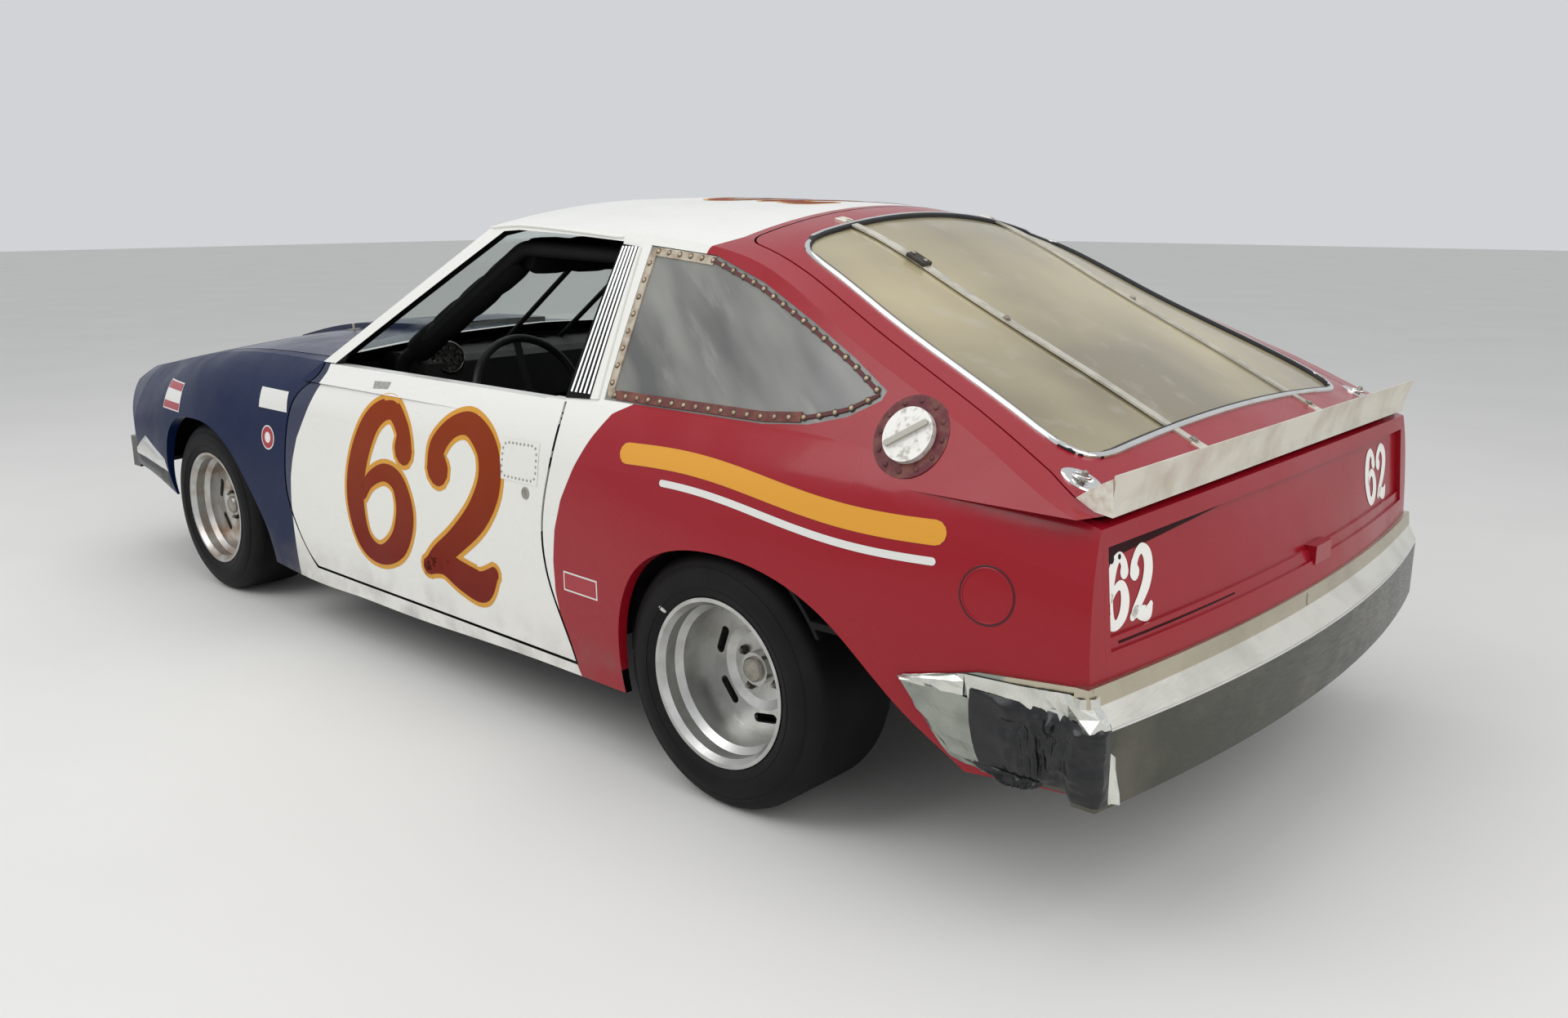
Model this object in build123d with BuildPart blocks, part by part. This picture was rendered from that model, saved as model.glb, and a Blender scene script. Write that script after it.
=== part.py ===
from build123d import *
import math
import os

# A three-door hatchback prepared for circuit racing, in millimetres.
# +X is forward, +Y is the car's left side and +Z is up. The origin is on the floor, under
# the middle of the car's overall box, so the wheels touch Z = 0.

os.makedirs("parts", exist_ok=True)

# Overall size
WHEELBASE = 2438
REAR_OVERHANG = 985
FRONT_OVERHANG = 880
HALF_WIDTH = 862
FENDER_BULGE = 22

# Wheels and tyres
TYRE_RADIUS = 290
REAR_TYRE_WIDTH = 270
FRONT_TYRE_WIDTH = 235
RIM_RADIUS = 191
BEAD_RADIUS = 178
RIM_WALL = 6
REAR_RIM_FACE_Y = 850
FRONT_RIM_FACE_Y = 840
REAR_DISH = 147
FRONT_DISH = 90
DISC_THICKNESS = 9
SLOT_COUNT = 6
SLOT_RADIUS = 118
SLOT_LENGTH = 70
SLOT_WIDTH = 22
LUG_COUNT = 4
LUG_CIRCLE_RADIUS = 57
LUG_HOLE_RADIUS = 8
HUB_RADIUS = 38
RUNNING_GAP = 0.3

# Body walls and gaps
BODY_WALL = 30
ROOF_WALL = 30
PILLAR_WALL = 36
SHUT_GAP = 5
SWING_GAP = 8
DOOR_INNER_Y = 768
GLASS_THICKNESS = 6
END_WALL = 28

# Places measured along the car
LENGTH = WHEELBASE + REAR_OVERHANG + FRONT_OVERHANG
REAR_X = REAR_OVERHANG - LENGTH / 2
FRONT_X = REAR_X + WHEELBASE
AXLE_Z = TYRE_RADIUS
BELT_Z = 850
BELT_Y = HALF_WIDTH - 62
TUMBLEHOME = 0.54
TAIL_BOTTOM_Z = 510
BUMPER_TOP_Z = 440
BUMPER_BOTTOM_Z = 295


def from_rear(distance):
    """X of a place given ahead of the rear axle."""
    return REAR_X + distance


def from_front(distance):
    """X of a place given ahead of the front axle."""
    return FRONT_X + distance


def side_prism(points, y_low, y_high):
    """A prism across the car from an outline of (x, z) corners."""
    with BuildPart() as prism:
        with BuildSketch(Plane.XZ.offset(-y_high)):
            with BuildLine():
                Polyline(*points, close=True)
            make_face()
        extrude(amount=y_high - y_low)
    return prism.part


def plan_prism(points, z_low, z_high, corner_radius=0):
    """An upright prism from an outline of (x, y) corners, which may be rounded."""
    with BuildPart() as prism:
        with BuildSketch(Plane.XY.offset(z_low)) as outline:
            with BuildLine():
                Polyline(*points, close=True)
            make_face()
            if corner_radius:
                fillet(outline.vertices(), corner_radius)
        extrude(amount=z_high - z_low)
    return prism.part


def front_prism(points, x_low, x_high):
    """A prism along the car from an outline of (y, z) corners."""
    with BuildPart() as prism:
        with BuildSketch(Plane.YZ.offset(x_low)):
            with BuildLine():
                Polyline(*points, close=True)
            make_face()
        extrude(amount=x_high - x_low)
    return prism.part


def block(x_low, x_high, y_low, y_high, z_low, z_high):
    """A box between two corners."""
    with BuildPart() as box:
        with Locations(((x_low + x_high) / 2, (y_low + y_high) / 2, (z_low + z_high) / 2)):
            Box(x_high - x_low, y_high - y_low, z_high - z_low)
    return box.part


def mirrored(points):
    """An outline of (x, y) corners closed by its own mirror image across the car."""
    return list(points) + [(x, -y) for x, y in reversed(points)]


def tube(points, radius, bend):
    """A round tube along a path with equal bends."""
    with BuildPart() as pipe:
        with BuildLine() as path:
            if len(points) > 2:
                FilletPolyline(*points, radius=bend)
            else:
                Line(*points)
        with BuildSketch(Plane(origin=path.line @ 0, z_dir=path.line % 0)):
            Circle(radius)
        sweep()
    return pipe.part


def both_sides(part_left):
    """A piece and its mirror image as one pair."""
    with BuildPart() as pair:
        add(part_left)
        mirror(part_left, about=Plane.XZ)
    return pair.part


def save(name, label):
    """Label a finished piece and write it to its own file."""
    name.part.label = label
    export_step(name.part, f"parts/{label}.step")


# Body sections. Each row is a place along the car and the corners of the side wall there,
# each as an inset from HALF_WIDTH and a height. The last column is the middle's height.
# Columns: x, sill_in, sill_z, waist_in, waist_z, shoulder_in, shoulder_z, top_in, top_z, middle_z
BODY_SECTIONS = [
    (from_rear(-1000), 66, 300, 36, 540, 58, 700, 74, 728, 730),
    (from_rear(-700), 47, 280, 14, 540, 40, 772, 67, 812, 814),
    (from_rear(-350), 17, 240, -FENDER_BULGE + 6, 520, 20, 800, 64, 855, 857),
    (from_rear(0), 12, 200, -FENDER_BULGE, 500, 16, 788, 62, 858, 860),
    (from_rear(350), 12, 190, -10, 490, 16, 780, 62, 860, 862),
    (from_rear(900), 12, 183, 0, 480, 17, 772, 62, 852, 854),
    (from_rear(1500), 12, 174, 2, 480, 19, 764, 67, 846, 862),
    (from_front(-600), 14, 172, -2, 480, 20, 762, 100, 842, 886),
    (from_front(-250), 14, 200, -16, 500, 24, 752, 120, 834, 884),
    (from_front(0), 16, 230, -20, 500, 30, 742, 127, 816, 868),
    (from_front(300), 24, 290, -6, 500, 47, 700, 142, 775, 822),
    (from_front(600), 47, 340, 24, 500, 72, 640, 157, 725, 762),
    (from_front(FRONT_OVERHANG), 72, 360, 52, 480, 92, 600, 172, 680, 700),
]


SHOULDER_BLEND = 62


def side_circle(sill, waist, shoulder):
    """The middle and radius of the circle through a side wall's three places."""
    (ay, az), (by, bz), (cy, cz) = sill, waist, shoulder
    cross = 2 * (ay * (bz - cz) + by * (cz - az) + cy * (az - bz))
    a, b, c = ay**2 + az**2, by**2 + bz**2, cy**2 + cz**2
    middle_y = (a * (bz - cz) + b * (cz - az) + c * (az - bz)) / cross
    middle_z = (a * (cy - by) + b * (ay - cy) + c * (by - ay)) / cross
    return middle_y, middle_z, math.hypot(ay - middle_y, az - middle_z)


def lower_body(side_wall, top_wall, open_below):
    """The car below its belt and hood line, less a wall on its sides and top."""
    with BuildPart() as body:
        for row in BODY_SECTIONS:
            x, sill_in, sill_z, waist_in, waist_z, shoulder_in, shoulder_z, top_in, top_z, middle_z = row
            sill = (HALF_WIDTH - sill_in - side_wall, sill_z - open_below)
            waist = (HALF_WIDTH - waist_in - side_wall, waist_z)
            shoulder = (HALF_WIDTH - shoulder_in - side_wall, shoulder_z - top_wall / 2)
            top = (HALF_WIDTH - top_in - side_wall, top_z - top_wall)
            circle_y, circle_z, radius = side_circle(sill, waist, shoulder)
            blend_z = shoulder[1] - SHOULDER_BLEND
            blend = (circle_y + math.sqrt(radius**2 - (blend_z - circle_z)**2), blend_z)
            rise = (circle_z - blend_z, blend[0] - circle_y)
            with BuildSketch(Plane.YZ.offset(x)):
                with BuildLine():
                    Line((-sill[0], sill[1]), sill)
                    ThreePointArc(sill, waist, blend)
                    crest = TangentArc(blend, top, tangent=rise)
                    ThreePointArc(top, (0, middle_z - top_wall), (-top[0], top[1]))
                    crest_middle = crest @ 0.5
                    ThreePointArc((-top[0], top[1]), (-crest_middle.X, crest_middle.Y), (-blend[0], blend[1]))
                    ThreePointArc((-blend[0], blend[1]), (-waist[0], waist[1]), (-sill[0], sill[1]))
                make_face()
        loft()
    return body.part


# Nose and tail outlines seen from above and from the side
NOSE_FACE_X = from_front(FRONT_OVERHANG - 60)
NOSE_CORNER_Y = HALF_WIDTH - 70
NOSE_RADIUS = 170
TAIL_CORNER_Y = HALF_WIDTH - 52
# The tail seen from above at a few heights. Columns: z, x at its corners, bow in its middle
TAIL_SECTIONS = [
    (-60, from_rear(-876), 59),
    (505, from_rear(-876), 59),
    (790, from_rear(-855), 1),
    (1420, from_rear(-855), 1),
]


def end_trim():
    """The space between the rounded nose and the tail."""
    wide = HALF_WIDTH + 200
    nose = NOSE_FACE_X
    corner = NOSE_CORNER_Y
    with BuildPart() as space:
        for z, corner_x, bow in TAIL_SECTIONS:
            edge_x = corner_x + bow * ((wide / TAIL_CORNER_Y)**2 - 1)
            with BuildSketch(Plane.XY.offset(z)):
                with BuildLine():
                    ThreePointArc((edge_x, wide), (corner_x - bow, 0), (edge_x, -wide))
                    Line((edge_x, -wide), (nose + 200, -wide))
                    Line((nose + 200, -wide), (nose + 200, wide))
                    Line((nose + 200, wide), (edge_x, wide))
                make_face()
        loft(ruled=True)
        with BuildSketch(Plane.XY.offset(-60)):
            with BuildLine():
                rear_x = from_rear(-1200)
                cheek = (nose - 200, corner + 45)
                turn = (nose - 70, corner - 35)
                front = (nose - 12, corner - NOSE_RADIUS)
                Line((rear_x, wide), (rear_x, -wide))
                Line((rear_x, -wide), (nose - 400, -wide))
                Line((nose - 400, -wide), (cheek[0], -cheek[1]))
                ThreePointArc((cheek[0], -cheek[1]), (turn[0], -turn[1]), (front[0], -front[1]))
                ThreePointArc((front[0], -front[1]), (nose + 30, 0), front)
                ThreePointArc(front, turn, cheek)
                Line(cheek, (nose - 400, wide))
                Line((nose - 400, wide), (rear_x, wide))
            make_face()
        extrude(amount=1480, mode=Mode.INTERSECT)
        with BuildSketch(Plane.XZ.offset(-1100)):
            with BuildLine():
                Line((rear_x, -60), (rear_x, 1400))
                Line((rear_x, 1400), (nose - 330, 1400))
                Line((nose - 330, 1400), (nose - 330, 760))
                ThreePointArc((nose - 330, 760), (nose - 80, 672), (nose + 24, 480))
                Line((nose + 24, 480), (nose - 20, 330))
                Line((nose - 20, 330), (nose - 20, -60))
                Line((nose - 20, -60), (rear_x, -60))
            make_face()
        extrude(amount=2200, mode=Mode.INTERSECT)
    return space.part


# Greenhouse. Roof rows give the height of its middle line and the radius of its crown.
# Columns: x, middle_z, crown_radius
ROOF_SECTIONS = [
    (from_rear(1960), 1262, 2600),
    (from_rear(1640), 1286, 2550),
    (from_rear(1300), 1305, 2500),
    (from_rear(980), 1316, 2400),
    (from_rear(660), 1315, 2300),
    (from_rear(400), 1308, 2150),
    (from_rear(200), 1295, 2000),
    (from_rear(60), 1266, 2080),
    (from_rear(-80), 1206, 2450),
    (from_rear(-240), 1123, 3000),
    (from_rear(-440), 1023, 4300),
    (from_rear(-640), 925, 6000),
    (from_rear(-840), 826, 9000),
    (from_rear(-1040), 727, 12000),
]
ROOF_EDGE_Y = HALF_WIDTH + 40
WINDSHIELD_RAKE = 1.491
WINDSHIELD_BASE_X = from_rear(1681)
WINDSHIELD_BASE_Y = HALF_WIDTH - 92
WINDSHIELD_TOP_Z = 1250
WINDSHIELD_BOW = 120
WINDSHIELD_TOP_BOW = 75


def upper_body(side_wall, roof_wall, glass_wall):
    """The cabin above the belt, less a wall on its sides, roof and windshield."""
    low_z = BELT_Z - 60
    high_z = 1340
    with BuildPart() as cabin:
        for x, middle_z, crown_radius in ROOF_SECTIONS:
            edge_z = middle_z - ROOF_EDGE_Y**2 / (2 * crown_radius) - roof_wall
            with BuildSketch(Plane.YZ.offset(x)):
                with BuildLine():
                    Line((-ROOF_EDGE_Y, 500), (ROOF_EDGE_Y, 500))
                    Line((ROOF_EDGE_Y, 500), (ROOF_EDGE_Y, edge_z))
                    ThreePointArc((ROOF_EDGE_Y, edge_z), (0, middle_z - roof_wall), (-ROOF_EDGE_Y, edge_z))
                    Line((-ROOF_EDGE_Y, edge_z), (-ROOF_EDGE_Y, 500))
                make_face()
        loft()
        add(windshield_space(low_z, high_z, glass_wall), mode=Mode.INTERSECT)
        low_y = BELT_Y + TUMBLEHOME * (BELT_Z - low_z) - side_wall
        high_y = BELT_Y - TUMBLEHOME * (high_z - BELT_Z) - side_wall
        middle_y = (low_y + high_y) / 2 + 7
        with BuildSketch(Plane.YZ.offset(from_rear(-1100))):
            with BuildLine():
                Line((-low_y, low_z), (low_y, low_z))
                ThreePointArc((low_y, low_z), (middle_y, (low_z + high_z) / 2), (high_y, high_z))
                Line((high_y, high_z), (-high_y, high_z))
                ThreePointArc((-high_y, high_z), (-middle_y, (low_z + high_z) / 2), (-low_y, low_z))
            make_face()
        extrude(amount=3200, mode=Mode.INTERSECT)
    return cabin.part


def windshield_space(low_z, high_z, inset):
    """All that lies behind the windshield's outer face, moved back by an inset."""
    with BuildPart() as space:
        for z, bow in ((low_z, WINDSHIELD_BOW), (high_z, WINDSHIELD_TOP_BOW)):
            half = WINDSHIELD_BASE_Y - TUMBLEHOME * (z - BELT_Z)
            pillar_x = WINDSHIELD_BASE_X - WINDSHIELD_RAKE * (z - BELT_Z) - inset
            reach = 900
            edge_x = pillar_x + bow - bow * (reach / half)**2
            back_x = from_rear(-1100)
            with BuildSketch(Plane.XY.offset(z)):
                with BuildLine():
                    Line((back_x, -reach), (edge_x, -reach))
                    ThreePointArc((edge_x, -reach), (pillar_x + bow, 0), (edge_x, reach))
                    Line((edge_x, reach), (back_x, reach))
                    Line((back_x, reach), (back_x, -reach))
                make_face()
        loft(ruled=True)
    return space.part


def whole_body(side_wall, top_wall, roof_wall, glass_wall, open_below, end_wall):
    """The closed outer form of the car, or the space inside its walls."""
    with BuildPart() as body:
        add(lower_body(side_wall, top_wall, open_below))
        add(upper_body(side_wall, roof_wall, glass_wall))
        add(end_trim().moved(Location((-end_wall, 0, 0))), mode=Mode.INTERSECT)
        if end_wall:
            add(end_trim().moved(Location((end_wall, 0, 0))), mode=Mode.INTERSECT)
    return body.part


outer_body = whole_body(0, 0, 0, 0, 0, 0)
inner_body = whole_body(BODY_WALL, BODY_WALL, ROOF_WALL, PILLAR_WALL, 80, END_WALL)


with BuildPart() as body_shell:
    add(outer_body)
    add(inner_body, mode=Mode.SUBTRACT)
print("shell", len(body_shell.part.solids()), round(body_shell.part.volume / 1e6, 1), "litres")


def panel(region, cutters=()):
    """The part of the body's wall that lies inside a region, less its openings."""
    with BuildPart() as piece:
        add(body_shell.part)
        add(region, mode=Mode.INTERSECT)
        for cutter in cutters:
            add(cutter, mode=Mode.SUBTRACT)
    return piece.part


# Outlines of the shut lines, seen from the side, as (x, z)
DOOR_BOTTOM_Z = 226
DOOR_TOP_Z = BELT_Z - 3
DOOR_REAR = [
    (533, DOOR_TOP_Z), (528, 800), (556, 657), (575, 531), (556, 420), (506, 310), (472, DOOR_BOTTOM_Z),
]
DOOR_FRONT = [
    (1712, DOOR_BOTTOM_Z), (1757, 262), (1812, 345), (1846, 440), (1844, 545),
    (1796, 719), (1742, 771), (1676, 808), (1655, DOOR_TOP_Z),
]


def door_space(gap, y_low, y_high):
    """The space of the left door between two distances from the middle, widened by a gap."""
    rear = [(from_rear(s - gap), z) for s, z in DOOR_REAR]
    front = [(from_rear(s + gap), z) for s, z in DOOR_FRONT]
    rear[-1] = (rear[-1][0], DOOR_BOTTOM_Z - gap)
    front[0] = (front[0][0], DOOR_BOTTOM_Z - gap)
    with BuildPart() as space:
        with BuildSketch(Plane.XZ.offset(-y_high)):
            with BuildLine():
                Spline(*rear)
                Line(rear[-1], front[0])
                Spline(*front)
                Line(front[-1], rear[0])
            make_face()
        extrude(amount=y_high - y_low)
    return space.part


# Wheel arches, as an angle above the road's forward direction and a gap outside the tyre
REAR_ARCH = [
    (-90, 90), (-45, 60), (-20, 24), (-4, 10), (19, 12), (45, 22), (69, 13), (95, 14),
    (123, 52), (144, 106), (158, 150), (172, 226), (181, 330), (225, 330),
]
FRONT_ARCH = [
    (-90, 90), (-45, 60), (-20, 20), (0, 12), (17, 16), (34, 33), (47, 53), (60, 50), (76, 28),
    (98, 21), (117, 30), (135, 47), (153, 70), (167, 101), (180, 140), (195, 165), (225, 165),
]


def arch_cutter(axle_x, rows, y_low):
    """The wheel opening in the left side wall."""
    points = []
    for angle, gap in rows:
        radius = TYRE_RADIUS + gap
        turn = math.radians(angle)
        points.append((axle_x + radius * math.cos(turn), AXLE_Z + radius * math.sin(turn)))
    y_high = HALF_WIDTH + 120
    with BuildPart() as opening:
        with BuildSketch(Plane.XZ.offset(-y_high)):
            with BuildLine():
                Spline(*points)
                Line(points[-1], points[0])
            make_face()
        extrude(amount=y_high - y_low)
    return opening.part


ARCH_INNER_Y = 560
rear_arch = arch_cutter(REAR_X, REAR_ARCH, ARCH_INNER_Y)
front_arch = arch_cutter(FRONT_X, FRONT_ARCH, ARCH_INNER_Y)

# Doors
with BuildPart() as door_left:
    add(outer_body)
    add(door_space(0, DOOR_INNER_Y, HALF_WIDTH + 100), mode=Mode.INTERSECT)
with BuildPart() as door_right:
    mirror(door_left.part, about=Plane.XZ)

# Windows of the cabin, seen from the side, as (x, z)
PILLAR_FOOT_X = 1640
SIDE_WINDOW = [
    (from_rear(533), BELT_Z), (from_rear(533), 1212), (from_rear(761), 1226),
    (from_rear(964), 1234), (from_rear(1028), 1230), (from_rear(PILLAR_FOOT_X - 38), BELT_Z),
]
QUARTER_WINDOW = [
    (from_rear(405), 862), (from_rear(430), 1205), (from_rear(205), 1187), (from_rear(35), 1136),
    (from_rear(-136), 1066), (from_rear(-274), 1004), (from_rear(-374), 952), (from_rear(-368), 934),
    (from_rear(-300), 897), (from_rear(-207), 873), (from_rear(-86), 862),
]
side_window = side_prism(SIDE_WINDOW, 450, HALF_WIDTH + 60)
quarter_window = side_prism(QUARTER_WINDOW, 450, HALF_WIDTH + 60)

# Windshield opening seen from the front, as (y, z) from the middle of its foot round to its top
WINDSHIELD_HALF = [(0, 912), (350, 902), (722, 872), (546, 1222), (260, 1246), (0, 1254)]
windshield_outline = WINDSHIELD_HALF + [(-y, z) for y, z in reversed(WINDSHIELD_HALF[1:-1])]
windshield_opening = front_prism(windshield_outline, from_rear(1000), from_rear(1900))

# Hatch and its glass, seen from above, as (x, y) on the left side
HATCH_TOP_X = from_rear(176)
HATCH_REAR_X = from_rear(-900)
HATCH_LOW_Z = 782
HATCH_CORNER_RADIUS = 52
GLASS_CORNER_RADIUS = 58
HATCH_SIDE = [
    (HATCH_TOP_X, 548), (from_rear(96), 563), (from_rear(-56), 590), (from_rear(-313), 640),
    (from_rear(-542), 690), (from_rear(-723), 732), (from_rear(-790), 762), (HATCH_REAR_X, 775),
]
HATCH_GLASS_SIDE = [(from_rear(72), 506), (from_rear(-735), 647)]


def hatch_space(gap):
    """The upright space that the hatch fills, widened by a gap."""
    side = [(x + (gap if i == 0 else 0), y + gap) for i, (x, y) in enumerate(HATCH_SIDE)]
    return plan_prism(mirrored(side), HATCH_LOW_Z - gap, 1400, HATCH_CORNER_RADIUS + gap)


hatch_opening = hatch_space(SHUT_GAP)

# A seal lip runs along the body under the hatch's edge, where the closed hatch rests on it
LIP_OUTER = 25
LIP_INNER = -12
LIP_UNDER = 8
lip_end = block(from_rear(-800), from_rear(400), -900, 900, 700, 1400)


def seal_strip(outer, inner, top_wall):
    """A strip under the skin between two lines around the hatch."""
    with BuildPart() as strip:
        add(upper_body(0, top_wall, 0))
        add(upper_body(0, ROOF_WALL + LIP_UNDER, 0), mode=Mode.SUBTRACT)
        add(hatch_space(outer), mode=Mode.INTERSECT)
        add(hatch_space(inner), mode=Mode.SUBTRACT)
        add(lip_end, mode=Mode.INTERSECT)
    return strip.part


with BuildPart() as seal_lip:
    add(seal_strip(LIP_OUTER, LIP_INNER, ROOF_WALL + RUNNING_GAP))
    add(seal_strip(LIP_OUTER, SHUT_GAP + 1, ROOF_WALL - 3))
glass_opening = plan_prism(mirrored(HATCH_GLASS_SIDE), 700, 1400, GLASS_CORNER_RADIUS)

# Hood, seen from above
NOSE_CUT_X = from_front(630)
HOOD_GAP = 7
HOOD_REAR_X = from_rear(1868)
HOOD_SIDE = [(NOSE_CUT_X, 655), (from_front(0), 690), (from_rear(1778), 712), (from_rear(1848), 400)]


def hood_space(side_gap, end_gap):
    """The upright space that the hood fills, widened by gaps."""
    front, middle, corner, rear = HOOD_SIDE
    side = [
        (front[0] + end_gap, front[1] + side_gap), (middle[0], middle[1] + side_gap),
        (corner[0] - end_gap, corner[1] + side_gap), (rear[0] - end_gap, rear[1]),
    ]
    return plan_prism(side + [(HOOD_REAR_X - end_gap, 0)] + [(x, -y) for x, y in reversed(side)], 600, 1000)


hood_opening = hood_space(HOOD_GAP, SHUT_GAP)
# A low bulge runs down the middle of the hood. Its outline is (ahead of the rear axle, y)
BULGE_HEIGHT = 18
BULGE_SIDE = [(3010, 150), (2870, 245), (2300, 262), (1960, 235)]
with BuildPart() as hood_bulge:
    add(lower_body(0, -BULGE_HEIGHT, 0))
    add(plan_prism(mirrored([(from_rear(x), y) for x, y in BULGE_SIDE]), 600, 1000), mode=Mode.INTERSECT)
    add(end_trim(), mode=Mode.INTERSECT)
    add(inner_body, mode=Mode.SUBTRACT)
with BuildPart() as hood_panel:
    add(panel(hood_space(0, 0)))
    add(hood_bulge.part)

# Roof with its windshield pillars and the cowl
ROOF_SIDE_Y = 540
upper_region = block(from_rear(100), from_rear(1900), -900, 900, BELT_Z, 1400)
quarter_top = block(from_rear(-1100), from_rear(533), ROOF_SIDE_Y, 950, BELT_Z, 1420)
lip_split = block(from_rear(-1100), from_rear(533), ROOF_SIDE_Y, 950, 700, 1420)
with BuildPart() as side_lip:
    add(seal_lip.part)
    add(lip_split, mode=Mode.INTERSECT)
with BuildPart() as roof_lip:
    add(seal_lip.part)
    add(both_sides(lip_split), mode=Mode.SUBTRACT)
    add(block(from_rear(100), from_rear(400), -900, 900, 700, 1400), mode=Mode.INTERSECT)
with BuildPart() as roof_panel:
    add(panel(upper_region, [windshield_opening, hatch_opening, hood_opening]))
    add(roof_lip.part)
    add(quarter_top, mode=Mode.SUBTRACT)
    add(side_window, mode=Mode.SUBTRACT)
    mirror(quarter_top, about=Plane.XZ, mode=Mode.SUBTRACT)
    mirror(side_window, about=Plane.XZ, mode=Mode.SUBTRACT)

# Rear quarters with their rockers
TAIL_CUT_X = from_rear(-836)
TAIL_HALF = TAIL_CORNER_Y - 22
ROCKER_FRONT_X = from_rear(1730)
quarter_low = side_prism(
    [
        (from_rear(-1000), 200), (from_rear(-1000), BELT_Z), (from_rear(600), BELT_Z),
        (ROCKER_FRONT_X, DOOR_BOTTOM_Z + 10), (ROCKER_FRONT_X, 100), (from_rear(-600), 100),
    ],
    500, 1000,
)
tail_region = block(from_rear(-1000), TAIL_CUT_X, -TAIL_HALF, TAIL_HALF, 470, HATCH_LOW_Z - SHUT_GAP)
tail_gap = block(
    from_rear(-1000), TAIL_CUT_X + RUNNING_GAP, 0, TAIL_HALF + RUNNING_GAP, 100, HATCH_LOW_Z - SHUT_GAP
)
FILLER_X = from_rear(-459)
FILLER_Z = 870
FILLER_Y = 770
FILLER_TILT = 28
FILLER_RADIUS = 82
FILLER_CAP_RADIUS = 54
FILLER_SINK = 14
filler_tilt = math.radians(FILLER_TILT)
filler_out = (0, math.cos(filler_tilt), math.sin(filler_tilt))
filler_plane = Plane(origin=(FILLER_X, FILLER_Y, FILLER_Z), x_dir=(1, 0, 0), z_dir=filler_out)
with BuildPart() as filler_pocket:
    with BuildSketch(filler_plane.offset(FILLER_SINK)):
        Circle(FILLER_RADIUS + RUNNING_GAP)
    extrude(amount=60)
with BuildPart() as quarter_panel_left:
    add(panel(quarter_low, [door_space(SWING_GAP, 450, 1050), rear_arch, tail_gap, hatch_opening]))
    add(panel(quarter_top, [quarter_window, hatch_opening]))
    add(side_lip.part)
    add(filler_pocket.part, mode=Mode.SUBTRACT)
with BuildPart() as quarter_panel_right:
    mirror(quarter_panel_left.part, about=Plane.XZ)

# Front fenders and nose
FENDER_REAR_X = from_rear(1640)
front_region = block(FENDER_REAR_X, NOSE_CUT_X, 600, 1000, 100, BELT_Z)
rocker_end = side_prism(
    [
        (from_rear(400), 100), (from_rear(400), BELT_Z), (FENDER_REAR_X, BELT_Z),
        (ROCKER_FRONT_X + RUNNING_GAP, 260), (ROCKER_FRONT_X + RUNNING_GAP, 100),
    ],
    500, 1000,
)
with BuildPart() as fender_left:
    add(panel(front_region, [door_space(SWING_GAP, 450, 1050), rocker_end, front_arch, hood_opening]))
with BuildPart() as fender_right:
    mirror(fender_left.part, about=Plane.XZ)
LAMP_HALF = 560
LAMP_WIDTH = 190
LAMP_Z = 575
LAMP_HEIGHT = 130
GRILLE_HALF = 420
GRILLE_LOW_Z = 510
GRILLE_HIGH_Z = 640
grille_opening = block(
    NOSE_FACE_X - 200, NOSE_FACE_X + 200, -GRILLE_HALF, GRILLE_HALF, GRILLE_LOW_Z, GRILLE_HIGH_Z
)


def lamp_spaces(gap):
    """The two lamp openings, less a gap all round."""
    half_width = LAMP_WIDTH / 2 - gap
    half_height = LAMP_HEIGHT / 2 - gap
    lamp = block(
        NOSE_FACE_X - 260, NOSE_FACE_X + 200, LAMP_HALF - half_width, LAMP_HALF + half_width,
        LAMP_Z - half_height, LAMP_Z + half_height,
    )
    return both_sides(lamp)


nose_region = block(NOSE_CUT_X + RUNNING_GAP, from_front(1000), -900, 900, 300, 900)
with BuildPart() as nose_panel:
    add(panel(nose_region, [grille_opening, lamp_spaces(0), hood_opening]))
RECESS_HALF = 772
RECESS_TOP_Z = 737
# Columns: height of a ledge and how deep the tail is set back above it
RECESS_STEPS = [(555, 6), (577, 13)]
LAMP_BOX_Y = (-132, -42)
LAMP_BOX_Z = (545, 586)
with BuildPart() as tail_panel:
    add(panel(tail_region))
    for ledge_z, depth in RECESS_STEPS:
        with BuildPart(mode=Mode.PRIVATE) as recess:
            add(block(from_rear(-1000), TAIL_CUT_X - 1, -RECESS_HALF, RECESS_HALF, ledge_z, RECESS_TOP_Z))
            add(outer_body.moved(Location((depth, 0, 0))), mode=Mode.SUBTRACT)
        add(recess.part, mode=Mode.SUBTRACT)
    add(block(from_rear(-926), from_rear(-900), *LAMP_BOX_Y, *LAMP_BOX_Z))

# Glass and hatch
GLASS_DEPTH = 4
pane_outer = upper_body(GLASS_DEPTH, GLASS_DEPTH, GLASS_DEPTH)
GLASS_INNER = GLASS_DEPTH + GLASS_THICKNESS
pane_inner = upper_body(GLASS_INNER, GLASS_INNER, GLASS_INNER)


def pane(region):
    """A sheet of glass set a little below the body's skin."""
    with BuildPart() as sheet:
        add(pane_outer)
        add(region, mode=Mode.INTERSECT)
        add(pane_inner, mode=Mode.SUBTRACT)
    return sheet.part


with BuildPart() as windshield:
    add(pane(windshield_opening))
with BuildPart() as quarter_windows:
    left_pane = pane(quarter_window)
    add(left_pane)
    mirror(left_pane, about=Plane.XZ)
with BuildPart() as hatch_frame:
    add(panel(hatch_space(0), [glass_opening]))
with BuildPart() as hatch_glass:
    add(pane(glass_opening))

# Wheels and tyres
FLANGE = 12


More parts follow.
